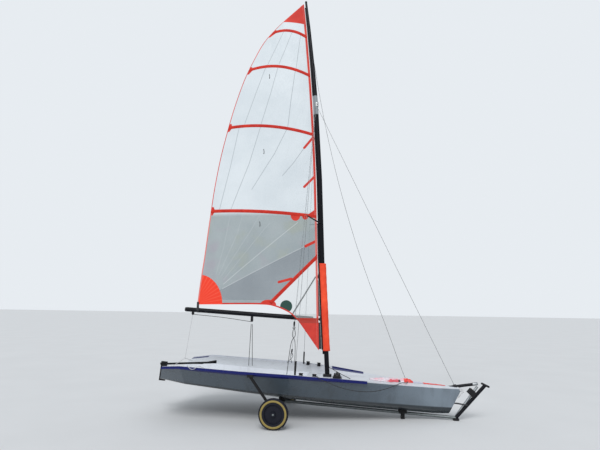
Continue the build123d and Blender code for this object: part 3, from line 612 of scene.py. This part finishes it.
def make_piece(name, grids, material, body="root", wrap=True, values=None):
    """One mesh from several grids of points, each rows by columns by 3. A wrapped grid is a tube
    whose columns go round it, and its two ends are closed by flat faces. The map named run counts
    turns round and metres along. A closed mesh whose volume comes out negative is turned round."""
    verts, faces, maps, first = [], [], [], 0
    for grid in grids:
        rows, columns = grid.shape[:2]
        corners, steps = grid_faces(rows, columns, wrap, first)
        along = np.cumsum(np.linalg.norm(np.diff(grid.mean(1), axis=0), axis=1))
        along = np.concatenate([[0], along])
        maps.append(np.stack([steps[..., 1] / columns, along[steps[..., 0]]], -1).reshape(-1, 2))
        faces.extend(corners.tolist())
        if wrap:
            for end, turn in ((0, -1), (rows - 1, 1)):
                faces.append((np.arange(columns)[::turn] + end * columns + first).tolist())
                maps.append(np.tile([[0.0, along[end]]], (columns, 1)))
        verts.append(grid.reshape(-1, 3))
        first += rows * columns
    verts = np.concatenate(verts)
    mesh = bpy.data.meshes.new(name)
    mesh.from_pydata(verts.tolist(), [], faces)
    layer = mesh.uv_layers.new(name="run")
    layer.data.foreach_set("uv", np.concatenate(maps).ravel())
    for key, array in (values or {}).items():
        store = mesh.attributes.new(key, "FLOAT", "POINT")
        store.data.foreach_set("value", array.ravel())
    mesh.polygons.foreach_set("use_smooth", np.full(len(mesh.polygons), True))
    mesh.materials.append(material)
    mesh.update()
    if wrap:
        mesh.calc_loop_triangles()
        tri = np.zeros(len(mesh.loop_triangles) * 3, int)
        mesh.loop_triangles.foreach_get("vertices", tri)
        a, b, c = np.moveaxis((verts - verts.mean(0))[tri.reshape(-1, 3)], 1, 0)
        if np.einsum("ij,ij->i", a, np.cross(b, c)).sum() < 0:
            mesh.flip_normals()
    piece = bpy.data.objects.new(name, mesh)
    bpy.context.scene.collection.objects.link(piece)
    if body:
        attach(piece, body)
    return piece


def smooth_line(path, per=8):
    """A rounded line through the given points: on each stretch a cubic whose slopes are half the
    way between the neighbours."""
    path = np.asarray(path, float)
    before = np.concatenate([[2 * path[0] - path[1]], path[:-1]])[:-1]
    after = np.concatenate([path[2:], [2 * path[-1] - path[-2]]])
    t = np.linspace(0, 1, per, endpoint=False)[None, :, None]
    p0, p1, p2, p3 = (row[:, None, :] for row in (before, path[:-1], path[1:], after))
    run = 0.5 * (2 * p1 + (p2 - p0) * t + (2 * p0 - 5 * p1 + 4 * p2 - p3) * t ** 2
                 + (3 * p1 - p0 - 3 * p2 + p3) * t ** 3)
    return np.concatenate([run.reshape(-1, path.shape[1]), path[-1:]])


def frames_along(path):
    """Two directions across a line at each of its points, the first one steady across its bends."""
    run = np.gradient(path, axis=0)
    run /= np.linalg.norm(run, axis=1)[:, None]
    steady = np.linalg.svd(run, full_matrices=True)[2][-1]
    if abs(steady @ run.mean(0)) > 0.9:
        steady = np.roll(steady, 1)
    side = np.cross(run, steady)
    side /= np.linalg.norm(side, axis=1)[:, None]
    return side[:, None], np.cross(run, side)[:, None]


def tube(path, radius, sides=8, flat=1.0):
    """A grid for a tube along a line: circles, or ellipses, square to it."""
    side, up = frames_along(path)
    turn = np.linspace(0, 2 * np.pi, sides, endpoint=False)[None, :, None]
    radius = np.broadcast_to(radius, len(path))[:, None, None]
    return path[:, None] + radius * (np.cos(turn) * side + flat * np.sin(turn) * up)


def bent(rows, radius, sides=8, flat=1.0, per=10):
    """A grid for a tube along a rounded line through points counted from the axle."""
    return tube(smooth_line(points(*rows), per), radius, sides, flat)


def across_axis(axis):
    """An axis of length 1 and two directions square to it and to each other."""
    axis = np.asarray(axis, float) / np.linalg.norm(axis)
    side = np.cross(axis, (0, 0, 1) if abs(axis[2]) < 0.9 else (1, 0, 0))
    side /= np.linalg.norm(side)
    return axis, side, np.cross(axis, side)


def turned(profile, centre, axis, sides=32):
    """A grid for a turned piece: a profile of distances along the axis and radii, spun round it."""
    axis, side, up = across_axis(axis)
    along, radius = np.array(profile, float).T[:, :, None, None]
    turn = np.linspace(0, 2 * np.pi, sides, endpoint=False)[None, :, None]
    return centre + along * axis + radius * (np.cos(turn) * side + np.sin(turn) * up)


def ring(centre, axis, big, small, sides=24):
    """A torus: a small circle carried round a big one. Its first row is repeated at the end."""
    axis, side, up = across_axis(axis)
    a = np.linspace(0, 2 * np.pi, sides + 1)[:, None, None]
    b = np.linspace(0, 2 * np.pi, 8, endpoint=False)[None, :, None]
    out = np.cos(a) * side + np.sin(a) * up
    return centre + out * (big + small * np.cos(b)) + axis * small * np.sin(b)


# ---- the sail

# The mast's middle line in side view: heights, and places ahead of the axle.
mast_heights = np.array([0.6, 2.3, 3.7, 5.03, 5.62, 6.47, 7.0])
mast_middles = np.array([0.688, 0.603, 0.557, 0.482, 0.434, 0.348, 0.285])
# The luff's lowest and highest point.
TACK, HEAD = 0.955, 6.968
# Height, how far the luff stands behind the mast's middle, luff y, leech x, leech y, camber towards
# starboard. The second column is then turned into places ahead of the axle.
sail_rows = np.array([
    (0.955, 0.112, -0.032, -1.43, -0.034, 0.09),
    (1.63, 0.092, -0.032, -1.4, -0.034, 0.1),
    (2.4, 0.076, -0.014, -1.324, -0.04, 0.11),
    (3.89, 0.066, 0.0, -1.164, -0.05, 0.1),
    (5.19, 0.064, 0.0, -0.88, -0.04, 0.075),
    (6.025, 0.056, 0.0, -0.562, -0.025, 0.048),
    (6.47, 0.05, 0.0, -0.269, -0.012, 0.026),
    (6.97, 0.042, 0.0, 0.235, -0.002, 0.001),
])
sail_rows[:, 1] = np.interp(sail_rows[:, 0], mast_heights, mast_middles) - sail_rows[:, 1]
sail_line = smooth_line(sail_rows, 24)
# The foot in side view, from its aft end to the tack.
foot_line = smooth_line([
    (-1.8, 1.622), (-1.0, 1.634), (-0.388, 1.64), (-0.15, 1.618), (0.09, 1.522), (0.23, 1.4),
    (0.33, 1.27), (0.42, 1.145), (0.5, 1.035), (0.565, 0.945),
])
# Across a batten's pocket: shares of its half width, and how far it stands off the cloth there.
POCKET_HALF = 0.0275
pocket_across = np.array([-1.0, -0.93, -0.6, -0.2, 0.2, 0.6, 0.93, 1.0])
pocket_crown = np.array([0.0004, 0.0012, 0.0022, 0.0042, 0.0042, 0.0022, 0.0012, 0.0004])


def sail_at(z):
    """Luff x and y, leech x and y and camber at given heights."""
    return [np.interp(z, sail_line[:, 0], sail_line[:, k]) for k in range(1, 6)]


def sail_y(x, z):
    """How far the cloth stands to port at a place of the side view: the chord's own y less a
    parabola of the camber."""
    luff_x, luff_y, leech_x, leech_y, camber = sail_at(z)
    share = (luff_x - x) / (luff_x - leech_x)
    return luff_y + (leech_y - luff_y) * share - 4 * camber * share * (1 - share)


def sail():
    """The mainsail as one sheet. Across it a point's share of the chord runs from luff to leech,
    and up it the height runs from the foot's curve to the head. The foot's height at each share is
    found by stepping until the point lies on the foot."""
    across, tall, steps = 130, 420, 60
    share = np.linspace(0, 1, across)
    low = np.full(across, 1.5)
    for _ in range(steps):
        luff_x, _, leech_x, _, _ = sail_at(low)
        foot = np.interp(luff_x + (leech_x - luff_x) * share, *foot_line.T)
        low = 0.6 * low + 0.4 * np.maximum(foot, TACK)
    z = low + np.linspace(0, 1, tall)[:, None] * (HEAD - low)
    luff_x, _, leech_x, _, _ = sail_at(z)
    x = luff_x + (leech_x - luff_x) * share
    flutter = 0.003 * np.sin(z * 9.0 + share * 5.0) * np.clip(share - 0.9, 0, 1) * 10 * (z < 6.5)
    grid = np.stack([x + AXLE, sail_y(x, z) + flutter, z], -1)
    edges = {"from_luff": luff_x - x, "from_leech": (x - leech_x) * np.cos(0.18),
             "from_foot": z - low}
    cloth = make_piece("mainsail_cloth", [grid], film_clear, "boom", wrap=False, values=edges)
    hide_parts("mainsail")


def pocket(line, side):
    """A batten's pocket: a shallow crown across the tape, along its line, standing off one face of
    the cloth. Both edges go down into the cloth."""
    line = np.array(line)
    if len(line) == 3:
        x = np.linspace(line[:, 0].min(), line[:, 0].max(), 90)
        z = np.polyval(np.polyfit(*line.T, 2), x)
    else:
        x, z = np.linspace(*line, 60).T
    run = np.stack([np.gradient(x), np.gradient(z)], 1)
    run *= POCKET_HALF / np.linalg.norm(run, axis=1)[:, None]
    px, pz = x[:, None] - run[:, 1:] * pocket_across, z[:, None] + run[:, :1] * pocket_across
    luff_x, _, leech_x, _, _ = sail_at(pz)
    px = np.clip(px, leech_x + 0.002, luff_x - 0.001)
    front, back = (np.stack([px + AXLE, sail_y(px, pz) + side * off, pz], -1)
                   for off in (pocket_crown, 0.0002))
    return np.concatenate([front, back[:, ::-1]], 1)


def batten_pockets():
    """All the pockets on both faces of the sail, in one piece."""
    grids = [pocket(line, side) for line in battens + [diagonal] for side in (-1, 1)]
    piece = make_piece("batten_pockets", grids, batten_cloth, "boom")
    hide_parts("battens")


def telltales():
    """Three pairs of short dark wool tails, each a thin ribbon hanging down the cloth."""
    grids = []
    down = np.linspace(0, 0.085, 8)
    for x, z in ((-0.334, 5.58), (-0.385, 4.2), (-0.412, 2.965)):
        px, pz = x + 0.01 * np.sin(down * 30.0), z - down
        for side in (-1, 1):
            line = np.stack([px + AXLE, sail_y(px, pz) + side * 0.006, pz], 1)
            grids.append(tube(line, 0.0045, 6, 0.4))
    make_piece("telltales", grids, strap_black, "boom")


def sleeve():
    """The padded sleeve round the mast's foot: an open oval wall about the mast, its back edges
    hemmed beside the track and its ends hemmed all round."""
    z = np.linspace(0.95, 2.3, 120)[:, None]
    turn = np.linspace(-2.45, 2.45, 72)[None, :]
    middle = np.interp(z, mast_heights, mast_middles)
    ripple = 0.0012 * np.sin(z * 46.0 + 2.0 * np.sin(turn * 2))
    soft = ripple + 0.001 * np.sin(turn * 5.0 + z * 9.0)
    hem = 0.002 * (np.abs(np.abs(turn) - 2.38) < 0.05) + 0.002 * ((z < 0.97) | (z > 2.28))
    x = np.maximum(middle + (0.058 + soft + hem) * np.cos(turn), middle - 0.0535)
    outer = (x, (0.045 + soft + hem) * np.sin(turn))
    inner = (middle + 0.0375 * np.cos(turn), 0.0325 * np.sin(turn) + 0 * z)
    outer, inner = (np.stack([x + AXLE, y, z + 0 * turn], -1) for x, y in (outer, inner))
    wall = np.concatenate([outer, inner[:, ::-1]], 1)
    piece = make_piece("mast_sleeve_cloth", [wall], sleeve_cloth)
    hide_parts("mast_sleeve")


def swing_line(z):
    """Where the line that the boom swings about stands at a height."""
    return 0.59 - 0.305 * (z - TACK) / 6.019


def upright_band(front, back, back_y, z, half=0.0045):
    """A flat oval column whose front and back edges are given at each height."""
    turn = np.linspace(0, 2 * np.pi, 16, endpoint=False)[None, :]
    share = 0.5 - 0.5 * np.cos(turn)
    x = front[:, None] + (back - front)[:, None] * share
    y = back_y[:, None] * share + half * np.sin(turn)
    return np.stack([x + AXLE, y, z[:, None] + 0 * turn], -1)


def luff_strips():
    """Dark strips, a painted shadow in the gap between the track and the sail. One strip stands on
    the track up to the line that the boom swings about, with a thin cheek on each side of the two
    joints, and the other hangs on the sail's front edge as its luff tape, black as painted shade."""
    grids = []
    for low, high, side in ((0.965, 1.375, 0), (1.475, 2.04, 0), (2.14, 2.95, 0),
                            (1.375, 1.475, -0.0155), (1.375, 1.475, 0.0155),
                            (2.04, 2.14, -0.0155), (2.04, 2.14, 0.0155)):
        z = np.linspace(low, high, 40)
        reach, half = (0.005, 0.0012) if side else (0.01, 0.0045)
        track = np.interp(z, mast_heights, mast_middles) - 0.055
        back = np.maximum(swing_line(z) + reach, sail_at(z)[0] + 0.003)
        grids.append(upright_band(track, back, 0 * z, z, half) + (0, side, 0))
    # Painted shadow: black strips standing in the shaded gap between the track and the sail.
    make_piece("luff_gap_shadow", grids, strap_black)
    grids = []
    for low, high in ((0.975, 1.375), (1.475, 2.035)):
        z = np.linspace(low, high, 40)
        luff_x, luff_y = sail_at(z)[:2]
        grids.append(upright_band(swing_line(z) + 0.008, luff_x - 0.004, luff_y, z))
    # Painted shade: the luff tape in black, as it looks in the shade of the gap.
    make_piece("luff_tape_gap_shadow", grids, strap_black, "boom")


# ---- the cloth on the foredeck

# The deck at the hull's stations: along, half width and height of its middle part, height of its
# middle line, half width and height of its edge, in the hull's own axes.
deck_rows = np.array([
    (-2.6, 0.52, -0.07, -0.066, 0.612, -0.066), (-2.03, 0.52, -0.06, -0.055, 0.88, 0.029),
    (-1.2, 0.52, -0.057, -0.052, 0.887, 0.042), (-0.5, 0.5, -0.05, -0.045, 0.864, 0.06),
    (0.05, 0.4, -0.02, -0.014, 0.75, 0.056), (0.6, 0.27, 0.018, 0.026, 0.532, 0.035),
    (1.1, 0.17, 0.03, 0.04, 0.335, 0.018), (1.6, 0.09, 0.026, 0.034, 0.165, 0.008),
    (2.0, 0.014, 0.02, 0.022, 0.03, 0.01),
])
# Along, y, half width and height of the heap.
heap_rows = np.array([
    (0.64, -0.09, 0.07, 0.008), (0.78, -0.1, 0.13, 0.03), (0.94, -0.09, 0.14, 0.038),
    (1.08, -0.07, 0.092, 0.04), (1.16, -0.065, 0.076, 0.062), (1.235, -0.06, 0.058, 0.05),
    (1.29, -0.055, 0.042, 0.016), (1.54, -0.035, 0.032, 0.013), (1.77, -0.018, 0.012, 0.006),
])


def deck_height(along, y):
    """The deck's height in the hull's own axes: two straight slopes on each side of the middle."""
    flat_y, flat_z, middle, edge_y, edge_z = (
        np.interp(along, deck_rows[:, 0], deck_rows[:, k]) for k in range(1, 6))
    reach = np.abs(y)
    return np.where(reach < flat_y, middle + (flat_z - middle) * reach / flat_y,
                    flat_z + (edge_z - flat_z) * (reach - flat_y) / (edge_y - flat_y))


def from_hull(along, y, above):
    """Points of the shared frame from places along the hull and above its deck line."""
    cos, sin = math.cos(BOW_DOWN), math.sin(BOW_DOWN)
    return np.stack([AXLE + MAST_FOOT[0] + along * cos + above * sin, y + 0 * along,
                     MAST_FOOT[1] - along * sin + above * cos], -1)


def bow_sail():
    """The sail dropped on the foredeck, one sheet heaped along the boat. Across it the height is
    the heap's height times a rounded crown, times two families of slanting folds, each the absolute
    value of a sine, and its edges wander and lie on the deck."""
    along = np.linspace(0.645, 1.765, 420)[:, None]
    v = np.linspace(-1, 1, 150)[None, :]
    middle, half, height = (np.interp(along, heap_rows[:, 0], heap_rows[:, k]) for k in (1, 2, 3))
    edge = np.sign(v)
    wander = 0.1 * np.sin(along * 31.0 + 1.2 * edge) + 0.06 * np.sin(along * 73.0 - edge)
    y = middle + half * v * (1 + wander * v * v) * 0.97
    y = y + 0.1 * half * np.sin(v * 9.0 + along * 22.0) * (1 - v * v)
    slant = along * 17.0 + v * 3.4 + 0.9 * np.sin(along * 14.0)
    other = along * 39.0 - v * 5.2 + 1.1 * np.sin(v * 3.0)
    folds = 0.62 * (1 - np.abs(np.sin(slant))) + 0.38 * (1 - np.abs(np.sin(other)))
    crown = (1 - np.abs(v) ** 2.6) ** 0.8
    above = deck_height(along, y) + 0.0022 + height * crown * (0.34 + 0.62 * folds)
    grid = from_hull(along + 0 * v, y, above)
    sides = {"across": v + 0 * along}
    piece = make_piece("bow_sail_cloth", [grid], pink_cloth, wrap=False, values=sides)
    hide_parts("bow_sail")


# ---- running rigging

def laid_rope(name, diameter, material, *rows):
    """A free rope. Its line is a NURBS spline with the given control points, and a tube follows the
    points that the spline gives."""
    controls = points(*rows)
    curve = bpy.data.curves.new(name + "_route", "CURVE")
    curve.dimensions = "3D"
    curve.resolution_u = 14
    spline = curve.splines.new("NURBS")
    spline.points.add(len(controls) - 1)
    weights = np.ones((len(controls), 1))
    spline.points.foreach_set("co", np.concatenate([controls, weights], 1).ravel())
    spline.order_u = 3
    spline.use_endpoint_u = True
    holder = bpy.data.objects.new(name + "_route", curve)
    line = bpy.data.meshes.new_from_object(holder)
    path = np.zeros(len(line.vertices) * 3)
    line.vertices.foreach_get("co", path)
    path = path.reshape(-1, 3)
    moves = np.linalg.norm(np.diff(path, axis=0), axis=1) > 1e-6
    path = path[np.concatenate([[True], moves])]
    bpy.data.meshes.remove(line)
    bpy.data.objects.remove(holder)
    bpy.data.curves.remove(curve)
    piece = make_piece(name, [tube(path, diameter / 2, 10)], material)


def blended_rope(name, lines, radius, material):
    """Ropes from the hull to the boom, in one piece that is attached to no body."""
    piece = make_piece(name, [tube(line, radius) for line in lines], material, None)
    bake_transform(piece)


def sheets():
    """The mainsheet's falls, its run under the boom, the bridle and three lines that lie loose."""
    foot, head = at(-0.505, 0, 0.7), at(-0.508, 0, 1.335)
    falls = [np.linspace(foot + (x, y, 0), head + (x * 0.3, y, 0), 30)
             for x, y in ((0.026, 0.004), (-0.03, -0.004))]
    blended_rope("mainsheet_falls", falls, 0.0045, rope_dark)
    tail, knot = at(-1.473, 0, 1.475), at(-1.557, 0, 0.79)
    blended_rope("bridle_fall", [np.linspace(knot, tail, 30)], 0.0035, rope_white)
    corners = [from_hull(-2.285, side * 0.5, -0.05) for side in (-1, 1)]
    legs = [tube(np.linspace(knot, corner, 20), 0.0035) for corner in corners]
    make_piece("bridle_legs", legs, rope_white)
    run = bent(((-1.455, 0.006, 1.47), (-1.0, 0.006, 1.432), (-0.525, 0.006, 1.372)), 0.0042,
               per=14)
    make_piece("sheet_under_boom", [run], rope_dark, "boom")
    laid_rope("spinnaker_halyard", 0.005, rope_dark,
              (0.398, 0.0, 6.106), (0.52, 0, 5.25), (0.8, 0, 3.85), (1.19, 0, 2.42),
              (1.64, -0.02, 1.2), (1.8, -0.04, 0.72), (1.856, -0.055, 0.585))
    laid_rope("loose_sheet", 0.009, rope_black,
              (0.538, -0.764, 0.668), (0.552, -0.785, 0.676), (0.575, -0.815, 0.673),
              (0.612, -0.822, 0.634), (0.731, -0.762, 0.585), (0.852, -0.705, 0.53),
              (1.011, -0.642, 0.482), (1.14, -0.593, 0.46), (1.284, -0.536, 0.45),
              (1.42, -0.485, 0.457), (1.56, -0.43, 0.488), (1.68, -0.384, 0.528),
              (1.765, -0.352, 0.558), (1.815, -0.3, 0.548), (1.86, -0.2, 0.534),
              (1.885, -0.11, 0.545))
    laid_rope("wing_line", 0.007, rope_white,
              (-1.0, -0.7, 0.722), (-1.03, -0.8, 0.748), (-1.055, -0.87, 0.776),
              (-1.085, -0.906, 0.776), (-1.11, -0.912, 0.742), (-1.165, -0.914, 0.735),
              (-1.2, -0.91, 0.762), (-1.222, -0.88, 0.788), (-1.25, -0.81, 0.762),
              (-1.28, -0.7, 0.733))


def trapezes():
    """One wire a side from the hounds to a grip, and below it two ropes that cross and part."""
    swell = np.array([0.003, 0.01, 0.014, 0.012, 0.0135, 0.012, 0.014, 0.01, 0.004])
    wires, grips, rings, tails = [], [], [], []
    for side, grip, foot, knots in (
        (-1, (0.246, -0.8, 1.405), (0.243, -0.805, 1.335),
         (((0.222, -0.815, 1.215), (0.262, -0.82, 1.1), (0.255, -0.8, 0.676)),
          ((0.262, -0.815, 1.215), (0.205, -0.82, 1.1), (0.15, -0.8, 0.676)))),
        (1, (0.06, 0.835, 0.905), (0.05, 0.84, 0.835),
         (((0.035, 0.835, 0.77), (0.06, 0.8, 0.672)),
          ((0.07, 0.835, 0.775), (-0.02, 0.79, 0.676)))),
    ):
        wires.append(tube(np.linspace(at(0.475, side * 0.03, 4.98), at(*grip), 30), 0.0017, 6))
        grips.append(tube(np.linspace(at(*grip), at(*foot), len(swell)), swell, 14))
        rings.append(ring(at(*foot) - (0, 0, 0.02), (0, 1, 0), 0.019, 0.0035))
        tails += [bent((foot, *knot), 0.0042) for knot in knots]
    make_piece("trapeze_wires", wires, wire_steel)
    make_piece("trapeze_grips", grips, plastic_black)
    make_piece("trapeze_rings", rings, steel)
    make_piece("trapeze_tails", tails, rope_dark)


# ---- fittings

# A turning block's turned forms, as distances along its axis and radii: its foot, one half of its
# cheeks and grooved wheel, and its pin.
block_foot = [(-0.004, 0.0005), (-0.004, 0.027), (0.004, 0.03), (0.009, 0.029), (0.012, 0.02),
              (0.016, 0.0005)]
block_half = [(-0.02, 0.0005), (-0.02, 0.01984), (-0.0184, 0.0288), (-0.014, 0.032),
              (-0.009, 0.03136), (-0.0056, 0.0256)]
block_pin = [(0.05, 0.0005), (0.05, 0.007), (0.055, 0.0065), (0.057, 0.004), (0.057, 0.0005)]


def blocks():
    """The side decks' upright turning blocks, in the places of the plain ones."""
    grids, pins = [], []
    wheel = block_half + [(-along, radius) for along, radius in block_half[::-1]]
    up = from_hull(0.0, 0.0, 1.0) - from_hull(0.0, 0.0, 0.0)
    for side in (-1, 1):
        for along, y in ((-0.345, 0.77), (-0.16, 0.735)):
            base = from_hull(along, side * y, deck_height(along, y))
            grids += [turned(block_foot, base, up), turned(wheel, base + up * 0.034, up)]
            pins.append(turned(block_pin, base, up, 12))
    piece = make_piece("turning_blocks", grids, plastic_black)
    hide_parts("sheet_blocks")
    make_piece("block_pins", pins, steel)


def tiller_extension():
    """A folded extension beside the tiller: joint, thick grip and thin tube, on the rudder."""
    grip = np.linspace(at(-1.05, -0.03, 0.764), at(-1.297, -0.036, 0.716), 24)
    swell = 0.0115 + 0.0012 * np.sin(np.arange(24) * 1.7)
    swell[[0, -1]] = 0.006
    joint = ring(at(-1.05, -0.015, 0.756), (1, 0, 0.2), 0.014, 0.005)
    grids = [tube(grip, swell, 14), joint]
    make_piece("extension_grip", grids, rubber_black, "rudder")
    pole = np.linspace(at(-1.29, -0.036, 0.716), at(-1.94, -0.044, 0.712), 30)
    grids = [tube(pole, 0.0065, 12)]
    make_piece("extension_tube", grids, spar_black, "rudder")


def cockpit_straps():
    """Two webbing straps that run along the cockpit, standing off its floor between their ends."""
    along = np.linspace(-2.02, -1.34, 40)
    rise = 0.004 + 0.03 * np.sin(np.linspace(0, np.pi, 40)) ** 0.35
    grids = [tube(from_hull(along, side * 0.14, -0.2 + rise), 0.021, 14, 0.07)
             for side in (-1, 1)]
    make_piece("cockpit_straps", grids, strap_black)


def bow_lashing():
    """Rope turns at the stem that hold the boat to the trolley's post, a strap below them and the
    sprit's end cap."""
    grids = [ring(at(2.655 + k * 0.009, 0, 0.452 - k * 0.018), (0.45, 0, 0.89), 0.04, 0.0075, 28)
             for k in range(3)]
    grids.append(bent(((2.7, -0.02, 0.44), (2.684, -0.036, 0.404), (2.652, -0.042, 0.366),
                       (2.632, -0.03, 0.336), (2.6, -0.012, 0.318)), 0.0085, 10))
    make_piece("bow_rope", grids, rope_white)
    strap = [bent(((2.556, side * 0.01, 0.238), (2.62, side * 0.034, 0.236),
                   (2.7, side * 0.034, 0.224), (2.765, side * 0.012, 0.222)), 0.01, 12, 0.6)
             for side in (-1, 1)]
    make_piece("bow_strap", strap, strap_black)
    profile = [(-0.075, 0.0215), (-0.07, 0.0228), (-0.004, 0.0228), (0.0, 0.0205),
               (0.0012, 0.0005)]
    cap = turned(profile, at(2.919, 0, 0.524), (0.54, 0, 0.079))
    make_piece("sprit_cap", [cap], galvanised_pale)


def deck_cleats():
    """The low three-cornered bridge across the foredeck ahead of the mast, with a jaw on each side
    of its ridge, and the line that runs from the mast over the ridge to the deck."""
    across = np.linspace(-0.19, 0.05, 24)[:, None]
    corners = smooth_line([(0.772, 0.566), (0.776, 0.58), (0.826, 0.64), (0.838, 0.646),
                           (0.85, 0.64), (0.9, 0.58), (0.904, 0.562), (0.838, 0.56)], 6)
    middle = np.array([0.838, 0.59])
    shrink = 1 - 0.35 * np.abs(np.linspace(-1, 1, 24)) ** 8
    x, z = np.moveaxis(middle + (corners - middle) * shrink[:, None, None], -1, 0)
    bridge = np.stack([x + AXLE, across + 0 * x, z], -1)
    jaw = [(0.0, 0.0005), (0.0, 0.013), (0.01, 0.012), (0.015, 0.006), (0.0155, 0.0005)]
    jaws = [turned(jaw, at(0.838 + lean * 0.034, y, 0.61), (lean * 0.85, 0, 0.53), 20)
            for lean in (-1, 1) for y in (-0.14, 0.0)]
    make_piece("deck_cleats", [bridge] + jaws, plastic_black)
    line = bent(((0.716, -0.01, 0.706), (0.78, -0.06, 0.682), (0.838, -0.1, 0.654),
                 (0.93, -0.13, 0.612), (1.036, -0.16, 0.568)), 0.0045)
    make_piece("cleat_line", [line], rope_black)


set_camera()
set_lights()
floor()
dress_nodes()
sail()
batten_pockets()
telltales()
sleeve()
luff_strips()
bow_sail()
sheets()
trapezes()
blocks()
tiller_extension()
cockpit_straps()
bow_lashing()
deck_cleats()
